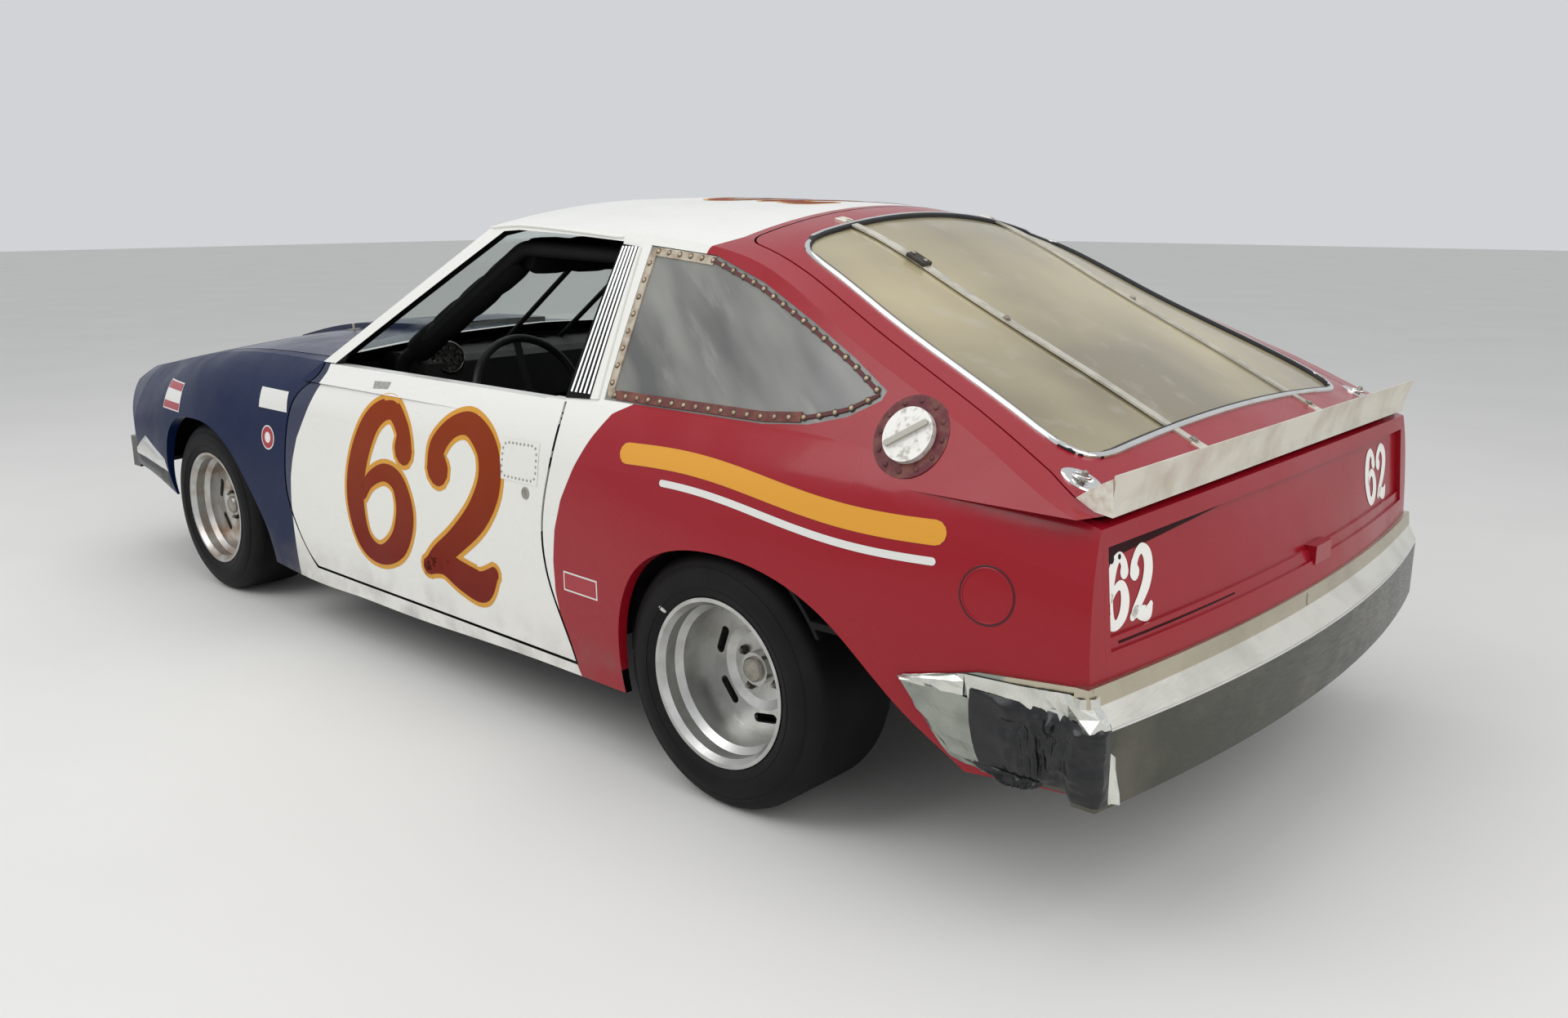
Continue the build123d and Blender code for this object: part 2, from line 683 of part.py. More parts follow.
def wheel_profile(face_y, width):
    """A rim's section as (radius, y), from its outer flange round to its inner one and back."""
    inner_y = face_y - width
    drop = BEAD_RADIUS - 20
    return [
        (RIM_RADIUS, face_y - FLANGE), (RIM_RADIUS, face_y), (RIM_RADIUS - 9, face_y),
        (BEAD_RADIUS - RIM_WALL, face_y - 14), (BEAD_RADIUS - RIM_WALL, face_y - 42), (drop, face_y - 56),
        (drop, inner_y + 52), (BEAD_RADIUS - RIM_WALL, inner_y + 38), (BEAD_RADIUS - RIM_WALL, inner_y + 10),
        (RIM_RADIUS - 9, inner_y), (RIM_RADIUS, inner_y), (RIM_RADIUS, inner_y + FLANGE),
        (BEAD_RADIUS, inner_y + FLANGE), (BEAD_RADIUS, inner_y + 42), (drop + RIM_WALL, inner_y + 56),
        (drop + RIM_WALL, face_y - 60), (BEAD_RADIUS, face_y - 44), (BEAD_RADIUS, face_y - FLANGE),
    ]


def make_wheel(axle_x, face_y, width, dish):
    """A steel wheel with its barrel, slotted disc and hub for the car's left side."""
    centre = Plane(origin=(axle_x, 0, AXLE_Z), x_dir=(1, 0, 0), z_dir=(0, 0, 1))
    spin = Axis((axle_x, 0, AXLE_Z), (0, 1, 0))
    disc_y = face_y - dish
    with BuildPart() as wheel:
        with BuildSketch(centre):
            with BuildLine():
                Polyline(*wheel_profile(face_y, width), close=True)
            make_face()
        revolve(axis=spin)
        with BuildSketch(centre):
            with BuildLine():
                Polyline(
                    (0, disc_y), (80, disc_y), (100, disc_y + 10), (BEAD_RADIUS - 17, disc_y + 10),
                    (BEAD_RADIUS - 17, disc_y + 10 - DISC_THICKNESS), (102, disc_y + 10 - DISC_THICKNESS),
                    (82, disc_y - DISC_THICKNESS), (0, disc_y - DISC_THICKNESS), close=True,
                )
            make_face()
        revolve(axis=spin)
        outside = Plane(origin=(axle_x, disc_y + 40, AXLE_Z), x_dir=(1, 0, 0), z_dir=(0, 1, 0))
        with BuildSketch(outside):
            with PolarLocations(SLOT_RADIUS, SLOT_COUNT, start_angle=-20):
                SlotOverall(SLOT_LENGTH, SLOT_WIDTH, rotation=90)
            with PolarLocations(LUG_CIRCLE_RADIUS, LUG_COUNT, start_angle=-30):
                Circle(LUG_HOLE_RADIUS)
        extrude(amount=-60, mode=Mode.SUBTRACT)
        with BuildSketch(outside.offset(-42)):
            Circle(HUB_RADIUS)
        extrude(amount=26)
    return wheel.part


def make_tyre(axle_x, face_y, width):
    """A wide slick tyre that fills the rim between its flanges."""
    shoulder = 26
    bulge = 10
    foot = RIM_RADIUS + 2
    bead = BEAD_RADIUS + RUNNING_GAP
    wall = (foot + TYRE_RADIUS) / 2
    outer_y = face_y - 2
    inner_y = face_y - width + 2
    bead_outer_y = face_y - FLANGE - RUNNING_GAP
    bead_inner_y = face_y - width + FLANGE + RUNNING_GAP
    edge = TYRE_RADIUS - shoulder
    with BuildPart() as tyre:
        with BuildSketch(Plane(origin=(axle_x, 0, AXLE_Z), x_dir=(1, 0, 0), z_dir=(0, 0, 1))):
            with BuildLine():
                Line((bead, bead_outer_y), (foot, bead_outer_y))
                Line((foot, bead_outer_y), (foot, outer_y))
                ThreePointArc((foot, outer_y), (wall, outer_y + bulge), (edge, outer_y))
                ThreePointArc((edge, outer_y), (TYRE_RADIUS - 8, outer_y - 12), (TYRE_RADIUS, outer_y - 32))
                Line((TYRE_RADIUS, outer_y - 32), (TYRE_RADIUS, inner_y + 32))
                ThreePointArc((TYRE_RADIUS, inner_y + 32), (TYRE_RADIUS - 8, inner_y + 12), (edge, inner_y))
                ThreePointArc((edge, inner_y), (wall, inner_y - bulge), (foot, inner_y))
                Line((foot, inner_y), (foot, bead_inner_y))
                Line((foot, bead_inner_y), (bead, bead_inner_y))
                Line((bead, bead_inner_y), (bead, bead_outer_y))
            make_face()
        revolve(axis=Axis((axle_x, 0, AXLE_Z), (0, 1, 0)))
    return tyre.part


with BuildPart() as rear_rim_left:
    add(make_wheel(REAR_X, REAR_RIM_FACE_Y, REAR_TYRE_WIDTH, REAR_DISH))
with BuildPart() as rear_tyre_left:
    add(make_tyre(REAR_X, REAR_RIM_FACE_Y, REAR_TYRE_WIDTH))
with BuildPart() as front_rim_left:
    add(make_wheel(FRONT_X, FRONT_RIM_FACE_Y, FRONT_TYRE_WIDTH, FRONT_DISH))
with BuildPart() as front_tyre_left:
    add(make_tyre(FRONT_X, FRONT_RIM_FACE_Y, FRONT_TYRE_WIDTH))


# Spoiler, hold-down straps and bumpers
SPOILER_X = from_rear(-856) - RUNNING_GAP
SPOILER_SHEET = 4
SPOILER_LOW_Z = 786
SPOILER_FOLD_Z = 808
SPOILER_TOP_Z = 863
SPOILER_LEAN = 14
SPOILER_HALF = 762
SPOILER_TOP_HALF = 786
with BuildPart() as rear_spoiler:
    with BuildSketch(Plane.XZ.offset(-SPOILER_TOP_HALF)):
        with BuildLine():
            top_x = SPOILER_X - SPOILER_LEAN
            back_x = SPOILER_X - SPOILER_SHEET
            Polyline(
                (SPOILER_X, SPOILER_LOW_Z), (SPOILER_X, SPOILER_FOLD_Z), (top_x, SPOILER_TOP_Z),
                (top_x - SPOILER_SHEET, SPOILER_TOP_Z), (back_x, SPOILER_FOLD_Z), (back_x, SPOILER_LOW_Z),
                close=True,
            )
        make_face()
    extrude(amount=2 * SPOILER_TOP_HALF)
    with BuildSketch(Plane.YZ.offset(SPOILER_X - 100)):
        with BuildLine():
            Polyline(
                (-SPOILER_HALF, SPOILER_LOW_Z), (SPOILER_HALF, SPOILER_LOW_Z),
                (SPOILER_TOP_HALF, SPOILER_TOP_Z), (-SPOILER_TOP_HALF, SPOILER_TOP_Z), close=True,
            )
        make_face()
    extrude(amount=200, mode=Mode.INTERSECT)

STRAP_WIDTH = 22
STRAP_THICKNESS = 5
STRAP_TOP = (from_rear(96), 304)
STRAP_FOOT = (from_rear(-800), 309)


strap_ends = [STRAP_TOP, STRAP_FOOT]
strap_left = [(x, y - STRAP_WIDTH / 2) for x, y in strap_ends]
strap_left += [(x, y + STRAP_WIDTH / 2) for x, y in reversed(strap_ends)]
with BuildPart() as hatch_straps:
    add(upper_body(-STRAP_THICKNESS - RUNNING_GAP, -STRAP_THICKNESS - RUNNING_GAP, 0))
    add(both_sides(plan_prism(strap_left, 700, 1400)), mode=Mode.INTERSECT)
    add(upper_body(-RUNNING_GAP, -RUNNING_GAP, 0), mode=Mode.SUBTRACT)


def bumper_bar(rows, half):
    """A bar curved in plan, from rows of (z, x at its ends, x in its middle, depth)."""
    with BuildPart() as bar:
        for z, end_x, middle_x, depth in rows:
            with BuildSketch(Plane.XY.offset(z)):
                with BuildLine():
                    ThreePointArc((end_x, half), (middle_x, 0), (end_x, -half))
                    Line((end_x, -half), (end_x + depth, -half))
                    ThreePointArc((end_x + depth, -half), (middle_x + depth, 0), (end_x + depth, half))
                    Line((end_x + depth, half), (end_x, half))
                make_face()
        loft(ruled=True)
    return bar.part


REAR_BUMPER_HALF = 852
FRONT_BUMPER_HALF = 800
# Columns: z, x at the ends, x in the middle, depth
REAR_BUMPER_ROWS = [
    (BUMPER_BOTTOM_Z, from_rear(-905), from_rear(-REAR_OVERHANG), 45),
    (BUMPER_TOP_Z, from_rear(-905), from_rear(-REAR_OVERHANG), 45),
    (475, from_rear(-885), from_rear(-944), 30),
    (TAIL_BOTTOM_Z, from_rear(-881), from_rear(-940), 26),
]
FRONT_BUMPER_ROWS = [
    (330, from_front(770), from_front(FRONT_OVERHANG), -60),
    (445, from_front(770), from_front(FRONT_OVERHANG), -60),
]
side_patch = [
    (from_rear(-502), 446), (from_rear(-668), 490), (from_rear(-884), 508),
    (from_rear(-884), 295), (from_rear(-695), 290), (from_rear(-606), 315), (from_rear(-549), 383),
]
with BuildPart() as rear_bumper:
    add(bumper_bar(REAR_BUMPER_ROWS, REAR_BUMPER_HALF))
    with BuildPart(mode=Mode.PRIVATE) as side_skin:
        add(lower_body(-8, 0, 0))
        add(both_sides(side_prism(side_patch, 700, 1000)), mode=Mode.INTERSECT)
        add(lower_body(-RUNNING_GAP, 0, 0), mode=Mode.SUBTRACT)
    add(side_skin.part)
    add(outer_body, mode=Mode.SUBTRACT)
    add(outer_body.moved(Location((-RUNNING_GAP, 0, 0))), mode=Mode.SUBTRACT)
with BuildPart() as front_bumper:
    add(bumper_bar(FRONT_BUMPER_ROWS, FRONT_BUMPER_HALF))
    add(outer_body, mode=Mode.SUBTRACT)
    add(outer_body.moved(Location((RUNNING_GAP, 0, 0))), mode=Mode.SUBTRACT)

# Lamps and grille, set back from the nose's face
LAMP_SETBACK = 8
set_back_shell = body_shell.part.moved(Location((-LAMP_SETBACK, 0, 0)))
with BuildPart() as headlamps:
    add(set_back_shell)
    add(lamp_spaces(RUNNING_GAP), mode=Mode.INTERSECT)
GRILLE_ROWS = 6
GRILLE_COLUMNS = 4
GRILLE_FRAME = 14
GRILLE_BAR = 5
grille_pitch_y = 2 * (GRILLE_HALF - GRILLE_FRAME) / GRILLE_COLUMNS
grille_pitch_z = (GRILLE_HIGH_Z - GRILLE_LOW_Z - 2 * GRILLE_FRAME) / GRILLE_ROWS
with BuildPart() as grille:
    add(set_back_shell)
    add(
        block(
            NOSE_FACE_X - 200, NOSE_FACE_X + 200, RUNNING_GAP - GRILLE_HALF, GRILLE_HALF - RUNNING_GAP,
            GRILLE_LOW_Z + RUNNING_GAP, GRILLE_HIGH_Z - RUNNING_GAP,
        ),
        mode=Mode.INTERSECT,
    )
    with BuildSketch(Plane.YZ.offset(NOSE_FACE_X - 200)):
        with Locations((0, (GRILLE_LOW_Z + GRILLE_HIGH_Z) / 2)):
            with GridLocations(grille_pitch_y, grille_pitch_z, GRILLE_COLUMNS, GRILLE_ROWS):
                Rectangle(grille_pitch_y - GRILLE_BAR, grille_pitch_z - GRILLE_BAR)
    extrude(amount=400, mode=Mode.SUBTRACT)

# Floor, tunnel, firewall and wheel houses
FLOOR_LOW_Z = 176
FLOOR_THICKNESS = 14
REAR_FLOOR_Z = 480
RISER_X = from_rear(640)
FIREWALL_X = from_rear(1725)
TUNNEL_HALF = 150
TUNNEL_TOP_Z = 430
SHEET = 8
TUB_RADIUS = TYRE_RADIUS + 50
TUB_INNER_Y = 546
APRON_Y = 446
APRON_LOW_Z = 470
SHELF_Z = 655
DOOR_SWING_Y = 740
with BuildPart() as floor_pan:
    add(block(RISER_X, FIREWALL_X, -900, 900, FLOOR_LOW_Z, FLOOR_LOW_Z + FLOOR_THICKNESS))
    add(block(from_rear(-840), RISER_X + SHEET, -900, 900, REAR_FLOOR_Z, REAR_FLOOR_Z + FLOOR_THICKNESS))
    add(block(RISER_X, RISER_X + SHEET, -900, 900, FLOOR_LOW_Z, REAR_FLOOR_Z + FLOOR_THICKNESS))
    add(block(FIREWALL_X - SHEET, FIREWALL_X, -900, 900, FLOOR_LOW_Z, 900))
    with BuildPart(mode=Mode.PRIVATE) as tub:
        with BuildSketch(Plane.XZ.offset(-900)):
            with Locations((REAR_X, AXLE_Z)):
                Circle(TUB_RADIUS)
        extrude(amount=900 - TUB_INNER_Y)
        add(block(REAR_X - 400, REAR_X + 400, 0, 1000, REAR_FLOOR_Z - 20, 900), mode=Mode.INTERSECT)
    add(both_sides(tub.part))
    add(block(FIREWALL_X - SHEET, from_front(600), APRON_Y, APRON_Y + SHEET, APRON_LOW_Z, 900))
    add(block(FIREWALL_X - SHEET, from_front(600), -APRON_Y - SHEET, -APRON_Y, APRON_LOW_Z, 900))
    add(block(FIREWALL_X - SHEET, from_front(600), APRON_Y, 900, SHELF_Z, SHELF_Z + SHEET))
    add(block(FIREWALL_X - SHEET, from_front(600), -900, -APRON_Y, SHELF_Z, SHELF_Z + SHEET))
    add(inner_body, mode=Mode.INTERSECT)
    add(block(RISER_X, FIREWALL_X, -TUNNEL_HALF, TUNNEL_HALF, FLOOR_LOW_Z, TUNNEL_TOP_Z))
    tunnel_half = TUNNEL_HALF - SHEET
    tunnel_space = block(
        RISER_X - 1, FIREWALL_X + 1, -tunnel_half, tunnel_half, FLOOR_LOW_Z - 1, TUNNEL_TOP_Z - SHEET
    )
    add(tunnel_space, mode=Mode.SUBTRACT)
    with BuildPart(mode=Mode.PRIVATE) as wheel_space:
        with BuildSketch(Plane.XZ.offset(-900)):
            with Locations((REAR_X, AXLE_Z)):
                Circle(TUB_RADIUS - SHEET)
        extrude(amount=900 - TUB_INNER_Y - SHEET)
    add(both_sides(wheel_space.part), mode=Mode.SUBTRACT)
    add(both_sides(door_space(SWING_GAP, DOOR_SWING_Y, 1000)), mode=Mode.SUBTRACT)

RAIL_INNER_Y = 380
RAIL_OUTER_Y = 440
FRONT_RAIL_Z = 300
FRONT_RAIL_HEIGHT = 80
SUB_RAIL_Z = 128
REAR_RAIL_INNER_Y = 470
REAR_RAIL_OUTER_Y = 530
REAR_RAIL_Z = 402
SPRING_FRONT = (RISER_X - 60 - RUNNING_GAP, 308)
SPRING_REAR = (from_rear(-650), 330)
SPRING_THICKNESS = 25
AXLE_TUBE_RADIUS = 38
CROSSMEMBER_LOW_Z = 156
PERCH_X = SPRING_REAR[0]
PERCH_Z = SPRING_REAR[1] + SPRING_THICKNESS / 2 + RUNNING_GAP
FRONT_RAIL_TOP_Z = FRONT_RAIL_Z + FRONT_RAIL_HEIGHT
# Rail runs on one side. Columns: x from, x to, y from, y to, z from, z to
RAIL_RUNS = [
    (FIREWALL_X + RUNNING_GAP, from_front(640), RAIL_INNER_Y, RAIL_OUTER_Y, FRONT_RAIL_Z, FRONT_RAIL_TOP_Z),
    (from_rear(1600), FIREWALL_X + 90, RAIL_INNER_Y, RAIL_OUTER_Y, SUB_RAIL_Z, FLOOR_LOW_Z),
    (FIREWALL_X + RUNNING_GAP, FIREWALL_X + 90, RAIL_INNER_Y, RAIL_OUTER_Y, SUB_RAIL_Z, FRONT_RAIL_Z + 10),
    (RISER_X - 60, from_rear(1610), RAIL_INNER_Y, RAIL_OUTER_Y, SUB_RAIL_Z, FLOOR_LOW_Z),
    (RISER_X - 60, RISER_X - RUNNING_GAP, RAIL_INNER_Y, REAR_RAIL_OUTER_Y, SUB_RAIL_Z, REAR_FLOOR_Z),
    (from_rear(-820), RISER_X - RUNNING_GAP, REAR_RAIL_INNER_Y, REAR_RAIL_OUTER_Y, REAR_RAIL_Z, REAR_FLOOR_Z),
    (PERCH_X - 30, PERCH_X + 30, REAR_RAIL_INNER_Y, REAR_RAIL_OUTER_Y, PERCH_Z, REAR_RAIL_Z + 5),
    (from_front(-60), from_front(60), RAIL_INNER_Y, RAIL_OUTER_Y, FRONT_RAIL_Z, 560),
]
with BuildPart() as rails_left:
    for run in RAIL_RUNS:
        add(block(*run))
with BuildPart() as chassis_rails:
    add(both_sides(rails_left.part))
    add(block(from_front(-70), from_front(70), -RAIL_OUTER_Y, RAIL_OUTER_Y, CROSSMEMBER_LOW_Z, FRONT_RAIL_Z))
    add(block(from_front(580), from_front(640), -RAIL_OUTER_Y, RAIL_OUTER_Y, FRONT_RAIL_Z, FRONT_RAIL_TOP_Z))
    rear_y = REAR_RAIL_OUTER_Y
    add(block(from_rear(-820), from_rear(-760), -rear_y, rear_y, REAR_RAIL_Z, REAR_FLOOR_Z))

# Rear axle on its leaf springs
DRUM_RADIUS = 118
DIFF_RADIUS = 122
SHAFT_RADIUS = 36
GEARBOX_FRONT_X = from_rear(1850)
GEARBOX_REAR_X = from_rear(1350)
with BuildPart() as rear_axle:
    rear_disc_back = REAR_RIM_FACE_Y - REAR_DISH - DISC_THICKNESS
    drum_face_y = rear_disc_back - 24
    with BuildSketch(Plane(origin=(REAR_X, 0, AXLE_Z), x_dir=(1, 0, 0), z_dir=(0, 0, 1))):
        with BuildLine():
            Polyline(
                (0, 0), (DIFF_RADIUS, 0), (DIFF_RADIUS - 10, 60), (AXLE_TUBE_RADIUS, 140),
                (AXLE_TUBE_RADIUS, drum_face_y - 72),
                (DRUM_RADIUS, drum_face_y - 67), (DRUM_RADIUS, drum_face_y), (60, drum_face_y + 4),
                (60, rear_disc_back - RUNNING_GAP),
                (0, rear_disc_back - RUNNING_GAP), close=True,
            )
        make_face()
    revolve(axis=Axis((REAR_X, 0, AXLE_Z), (0, 1, 0)))
    mirror(about=Plane.XZ)
    with BuildSketch(Plane.YZ.offset(REAR_X)):
        with Locations((0, AXLE_Z + 20)):
            Circle(SHAFT_RADIUS)
    extrude(amount=GEARBOX_REAR_X - RUNNING_GAP - REAR_X)
with BuildPart() as spring_left:
    with BuildSketch(Plane.XZ.offset(-(REAR_RAIL_INNER_Y + 5))):
        half = SPRING_THICKNESS / 2
        middle_z = AXLE_Z - AXLE_TUBE_RADIUS - half - RUNNING_GAP
        front_x, front_z = SPRING_FRONT
        back_x, back_z = SPRING_REAR
        with BuildLine():
            ThreePointArc((front_x, front_z + half), (REAR_X, middle_z + half), (back_x, back_z + half))
            Line((back_x, back_z + half), (back_x, back_z - half))
            ThreePointArc((back_x, back_z - half), (REAR_X, middle_z - half), (front_x, front_z - half))
            Line((front_x, front_z - half), (front_x, front_z + half))
        make_face()
    extrude(amount=-50)
with BuildPart() as leaf_springs:
    add(both_sides(spring_left.part))

# Engine and gearbox as plain blocks, with the exhaust pipes
ENGINE_HALF = 220
PIPE_RADIUS = 30
PIPE_Z = FLOOR_LOW_Z - PIPE_RADIUS - RUNNING_GAP
with BuildPart() as engine_block:
    add(block(GEARBOX_FRONT_X, from_rear(2560), -ENGINE_HALF, ENGINE_HALF, FRONT_RAIL_Z + RUNNING_GAP, 740))
    add(block(GEARBOX_REAR_X, GEARBOX_FRONT_X + 1, -115, 115, 262, 410))
with BuildPart() as exhaust_pipes:
    pipe_y = ENGINE_HALF + PIPE_RADIUS + RUNNING_GAP
    elbow_x = from_rear(2000)
    pipe_path = [(elbow_x, pipe_y, 420), (elbow_x, pipe_y, PIPE_Z), (from_rear(700), pipe_y, PIPE_Z)]
    add(both_sides(tube(pipe_path, PIPE_RADIUS, 110)))

# Front suspension
KINGPIN_Y = 690
KINGPIN_RADIUS = 22
BALL_LOW_Z = AXLE_Z - 110
BALL_HIGH_Z = AXLE_Z + 110
ARM_THICKNESS = 18
front_disc_back = FRONT_RIM_FACE_Y - FRONT_DISH - DISC_THICKNESS
with BuildPart() as knuckle_left:
    with BuildSketch(Plane.XY.offset(BALL_LOW_Z)):
        with Locations((FRONT_X, KINGPIN_Y)):
            Circle(KINGPIN_RADIUS)
    extrude(amount=BALL_HIGH_Z - BALL_LOW_Z)
    with BuildSketch(Plane(origin=(FRONT_X, KINGPIN_Y, AXLE_Z), x_dir=(1, 0, 0), z_dir=(0, 1, 0))):
        Circle(36)
    extrude(amount=front_disc_back - RUNNING_GAP - KINGPIN_Y)
    with BuildSketch(Plane(origin=(FRONT_X, KINGPIN_Y + 30, AXLE_Z), x_dir=(1, 0, 0), z_dir=(0, 1, 0))):
        Circle(105)
    extrude(amount=14)
    add(block(FRONT_X - 110, FRONT_X, KINGPIN_Y - 14, KINGPIN_Y + 6, AXLE_Z - 70, AXLE_Z - 52))
with BuildPart() as knuckle_right:
    mirror(knuckle_left.part, about=Plane.XZ)
with BuildPart() as control_arms:
    for z in (BALL_LOW_Z - ARM_THICKNESS - RUNNING_GAP, BALL_HIGH_Z + RUNNING_GAP):
        arm_y = RAIL_OUTER_Y + RUNNING_GAP
        tip_y = KINGPIN_Y + 20
        arm = [(FRONT_X - 68, arm_y), (FRONT_X + 68, arm_y), (FRONT_X + 20, tip_y), (FRONT_X - 20, tip_y)]
        add(both_sides(plan_prism(arm, z, z + ARM_THICKNESS)))

# Cabin
COLUMN_Y = 370
WHEEL_CENTRE = (from_rear(1250), COLUMN_Y, 730)
COLUMN_TILT = 20
STEERING_RADIUS = 190
STEERING_TUBE = 12
COLUMN_RADIUS = 20
column_run = (math.cos(math.radians(COLUMN_TILT)), 0, -math.sin(math.radians(COLUMN_TILT)))
column_up = (math.sin(math.radians(COLUMN_TILT)), 0, math.cos(math.radians(COLUMN_TILT)))
wheel_plane = Plane(origin=WHEEL_CENTRE, x_dir=(0, 1, 0), z_dir=column_run)
with BuildPart() as steering_wheel:
    with BuildSketch(Plane(origin=WHEEL_CENTRE, x_dir=(0, 1, 0), z_dir=column_up)):
        with Locations((STEERING_RADIUS, 0)):
            Circle(STEERING_TUBE)
    revolve(axis=Axis(WHEEL_CENTRE, column_run))
    with BuildSketch(wheel_plane.offset(-4)):
        Circle(34)
        with PolarLocations(STEERING_RADIUS / 2, 3, start_angle=90):
            Rectangle(STEERING_RADIUS, 22)
    extrude(amount=8)
    with BuildSketch(wheel_plane):
        Circle(34)
    extrude(amount=40)
with BuildPart() as steering_column:
    with BuildSketch(wheel_plane.offset(40 + RUNNING_GAP)):
        Circle(COLUMN_RADIUS)
    extrude(amount=600)
    add(block(from_rear(1000), FIREWALL_X - SHEET - RUNNING_GAP, 0, 700, 300, 900), mode=Mode.INTERSECT)
DASH_BOTTOM_Z = 668
DASH_TOP_Z = 862
with BuildPart() as dashboard:
    with BuildSketch(Plane.XZ.offset(-590)):
        with BuildLine():
            Polyline(
                (from_rear(1470), 700), (from_rear(1470), 836), (from_rear(1500), 852),
                (from_rear(1600), DASH_TOP_Z), (FIREWALL_X - SHEET, DASH_TOP_Z),
                (FIREWALL_X - SHEET, 800), (from_rear(1540), 790), (from_rear(1520), DASH_BOTTOM_Z),
                (from_rear(1490), DASH_BOTTOM_Z), close=True,
            )
        make_face()
    extrude(amount=1180)
    add(inner_body, mode=Mode.INTERSECT)
SEAT_HALF = 215
FLOOR_TOP_Z = FLOOR_LOW_Z + FLOOR_THICKNESS
SEAT_LOW_Z = FLOOR_TOP_Z + RUNNING_GAP
SEAT_SIDE = 40
# The seat's outline and its hollow, seen from the side, as (ahead of the rear axle, z)
SEAT_OUTER = [
    (680, SEAT_LOW_Z), (1180, SEAT_LOW_Z), (1200, 360), (880, 430),
    (760, 560), (700, 900), (600, 900), (648, 560),
]
SEAT_INNER = [(1260, 330), (850, 290), (790, 320), (720, 560), (660, 960), (1260, 960)]
with BuildPart() as seat:
    outline = [(from_rear(x), z) for x, z in SEAT_OUTER]
    hollow = [(from_rear(x), z) for x, z in SEAT_INNER]
    add(side_prism(outline, COLUMN_Y - SEAT_HALF, COLUMN_Y + SEAT_HALF))
    inside = side_prism(hollow, COLUMN_Y - SEAT_HALF + SEAT_SIDE, COLUMN_Y + SEAT_HALF - SEAT_SIDE)
    add(inside, mode=Mode.SUBTRACT)
HOOP_X = from_rear(430)
HALO_X = from_rear(1050)
HALO_Z = 1184
HALO_Y = 520
CAGE_FOOT_Y = 640
CAGE_BEND = 90
REAR_FLOOR_TOP_Z = REAR_FLOOR_Z + FLOOR_THICKNESS
hoop_half = [(HOOP_X, CAGE_FOOT_Y, REAR_FLOOR_Z), (HOOP_X, CAGE_FOOT_Y, 760), (HOOP_X, HALO_Y, HALO_Z)]
hoop_path = hoop_half + [(x, -y, z) for x, y, z in reversed(hoop_half)]
front_leg = [
    (HOOP_X, HALO_Y - 14, HALO_Z - 18), (HALO_X, HALO_Y, HALO_Z),
    (from_rear(1540), 624, 840), (from_rear(1600), 640, FLOOR_LOW_Z),
]
rear_stay = [(HOOP_X, HALO_Y + 4, HALO_Z - 60), (from_rear(-440), 470, REAR_FLOOR_Z)]
door_bar = [(HOOP_X, CAGE_FOOT_Y, 560), (from_rear(1571), 632, 500)]
BRACE_PLACES = (190, -40)
BRACE_RADIUS = 8
BRACE_BEND = 40
with BuildPart() as roll_cage:
    add(tube(hoop_path, 22, CAGE_BEND))
    add(both_sides(tube(front_leg, 21, CAGE_BEND)))
    add(both_sides(tube(rear_stay, 19, CAGE_BEND)))
    add(both_sides(tube(door_bar, 18, CAGE_BEND)))
    add(tube([(HALO_X, HALO_Y - 4, HALO_Z - 2), (HALO_X, 4 - HALO_Y, HALO_Z - 2)], 18, CAGE_BEND))
    add(tube([(HOOP_X, CAGE_FOOT_Y, 620), (HOOP_X, -CAGE_FOOT_Y, 620)], 17, CAGE_BEND))
    for y in BRACE_PLACES:
        brace = [(HALO_X, y, HALO_Z), (from_rear(1125), y, 1208), (from_rear(1660), y, DASH_TOP_Z - 20)]
        add(tube(brace, BRACE_RADIUS, BRACE_BEND))
    add(block(from_rear(1400), from_rear(1800), -300, 300, 700, DASH_TOP_Z + RUNNING_GAP), mode=Mode.SUBTRACT)
    foot_z = REAR_FLOOR_TOP_Z + RUNNING_GAP
    add(block(from_rear(-900), RISER_X + SHEET, -900, 900, 0, foot_z), mode=Mode.SUBTRACT)
    add(block(RISER_X, from_rear(2000), -900, 900, 0, FLOOR_TOP_Z + RUNNING_GAP), mode=Mode.SUBTRACT)
with BuildPart() as fuel_cell:
    add(block(from_rear(-750), from_rear(-400), -300, 300, 262, REAR_FLOOR_Z))
FILLER_RING_THICKNESS = 7
FILLER_CAP_HEIGHT = 20
FILLER_GRIP_WIDTH = 12
with BuildPart() as fuel_filler:
    with BuildSketch(filler_plane.offset(FILLER_SINK + RUNNING_GAP)):
        Circle(FILLER_RADIUS)
    extrude(amount=FILLER_RING_THICKNESS)
    with BuildSketch(filler_plane.offset(FILLER_SINK + RUNNING_GAP)):
        Circle(FILLER_CAP_RADIUS)
    extrude(amount=FILLER_CAP_HEIGHT)
    with BuildSketch(filler_plane.offset(FILLER_SINK + FILLER_CAP_HEIGHT)):
        SlotOverall(2 * FILLER_CAP_RADIUS - 10, FILLER_GRIP_WIDTH, rotation=35)
    extrude(amount=9)
with BuildPart() as pillar_trims:
    trim_outline = [
        (from_rear(533), 856), (from_rear(531), 1206), (from_rear(461), 1200), (from_rear(420), 862),
    ]
    with BuildPart(mode=Mode.PRIVATE) as trim_left:
        add(upper_body(-6, 0, 0))
        add(side_prism(trim_outline, 500, 900), mode=Mode.INTERSECT)
        add(upper_body(-RUNNING_GAP, 0, 0), mode=Mode.SUBTRACT)
        add(outer_body, mode=Mode.SUBTRACT)
    add(both_sides(trim_left.part))

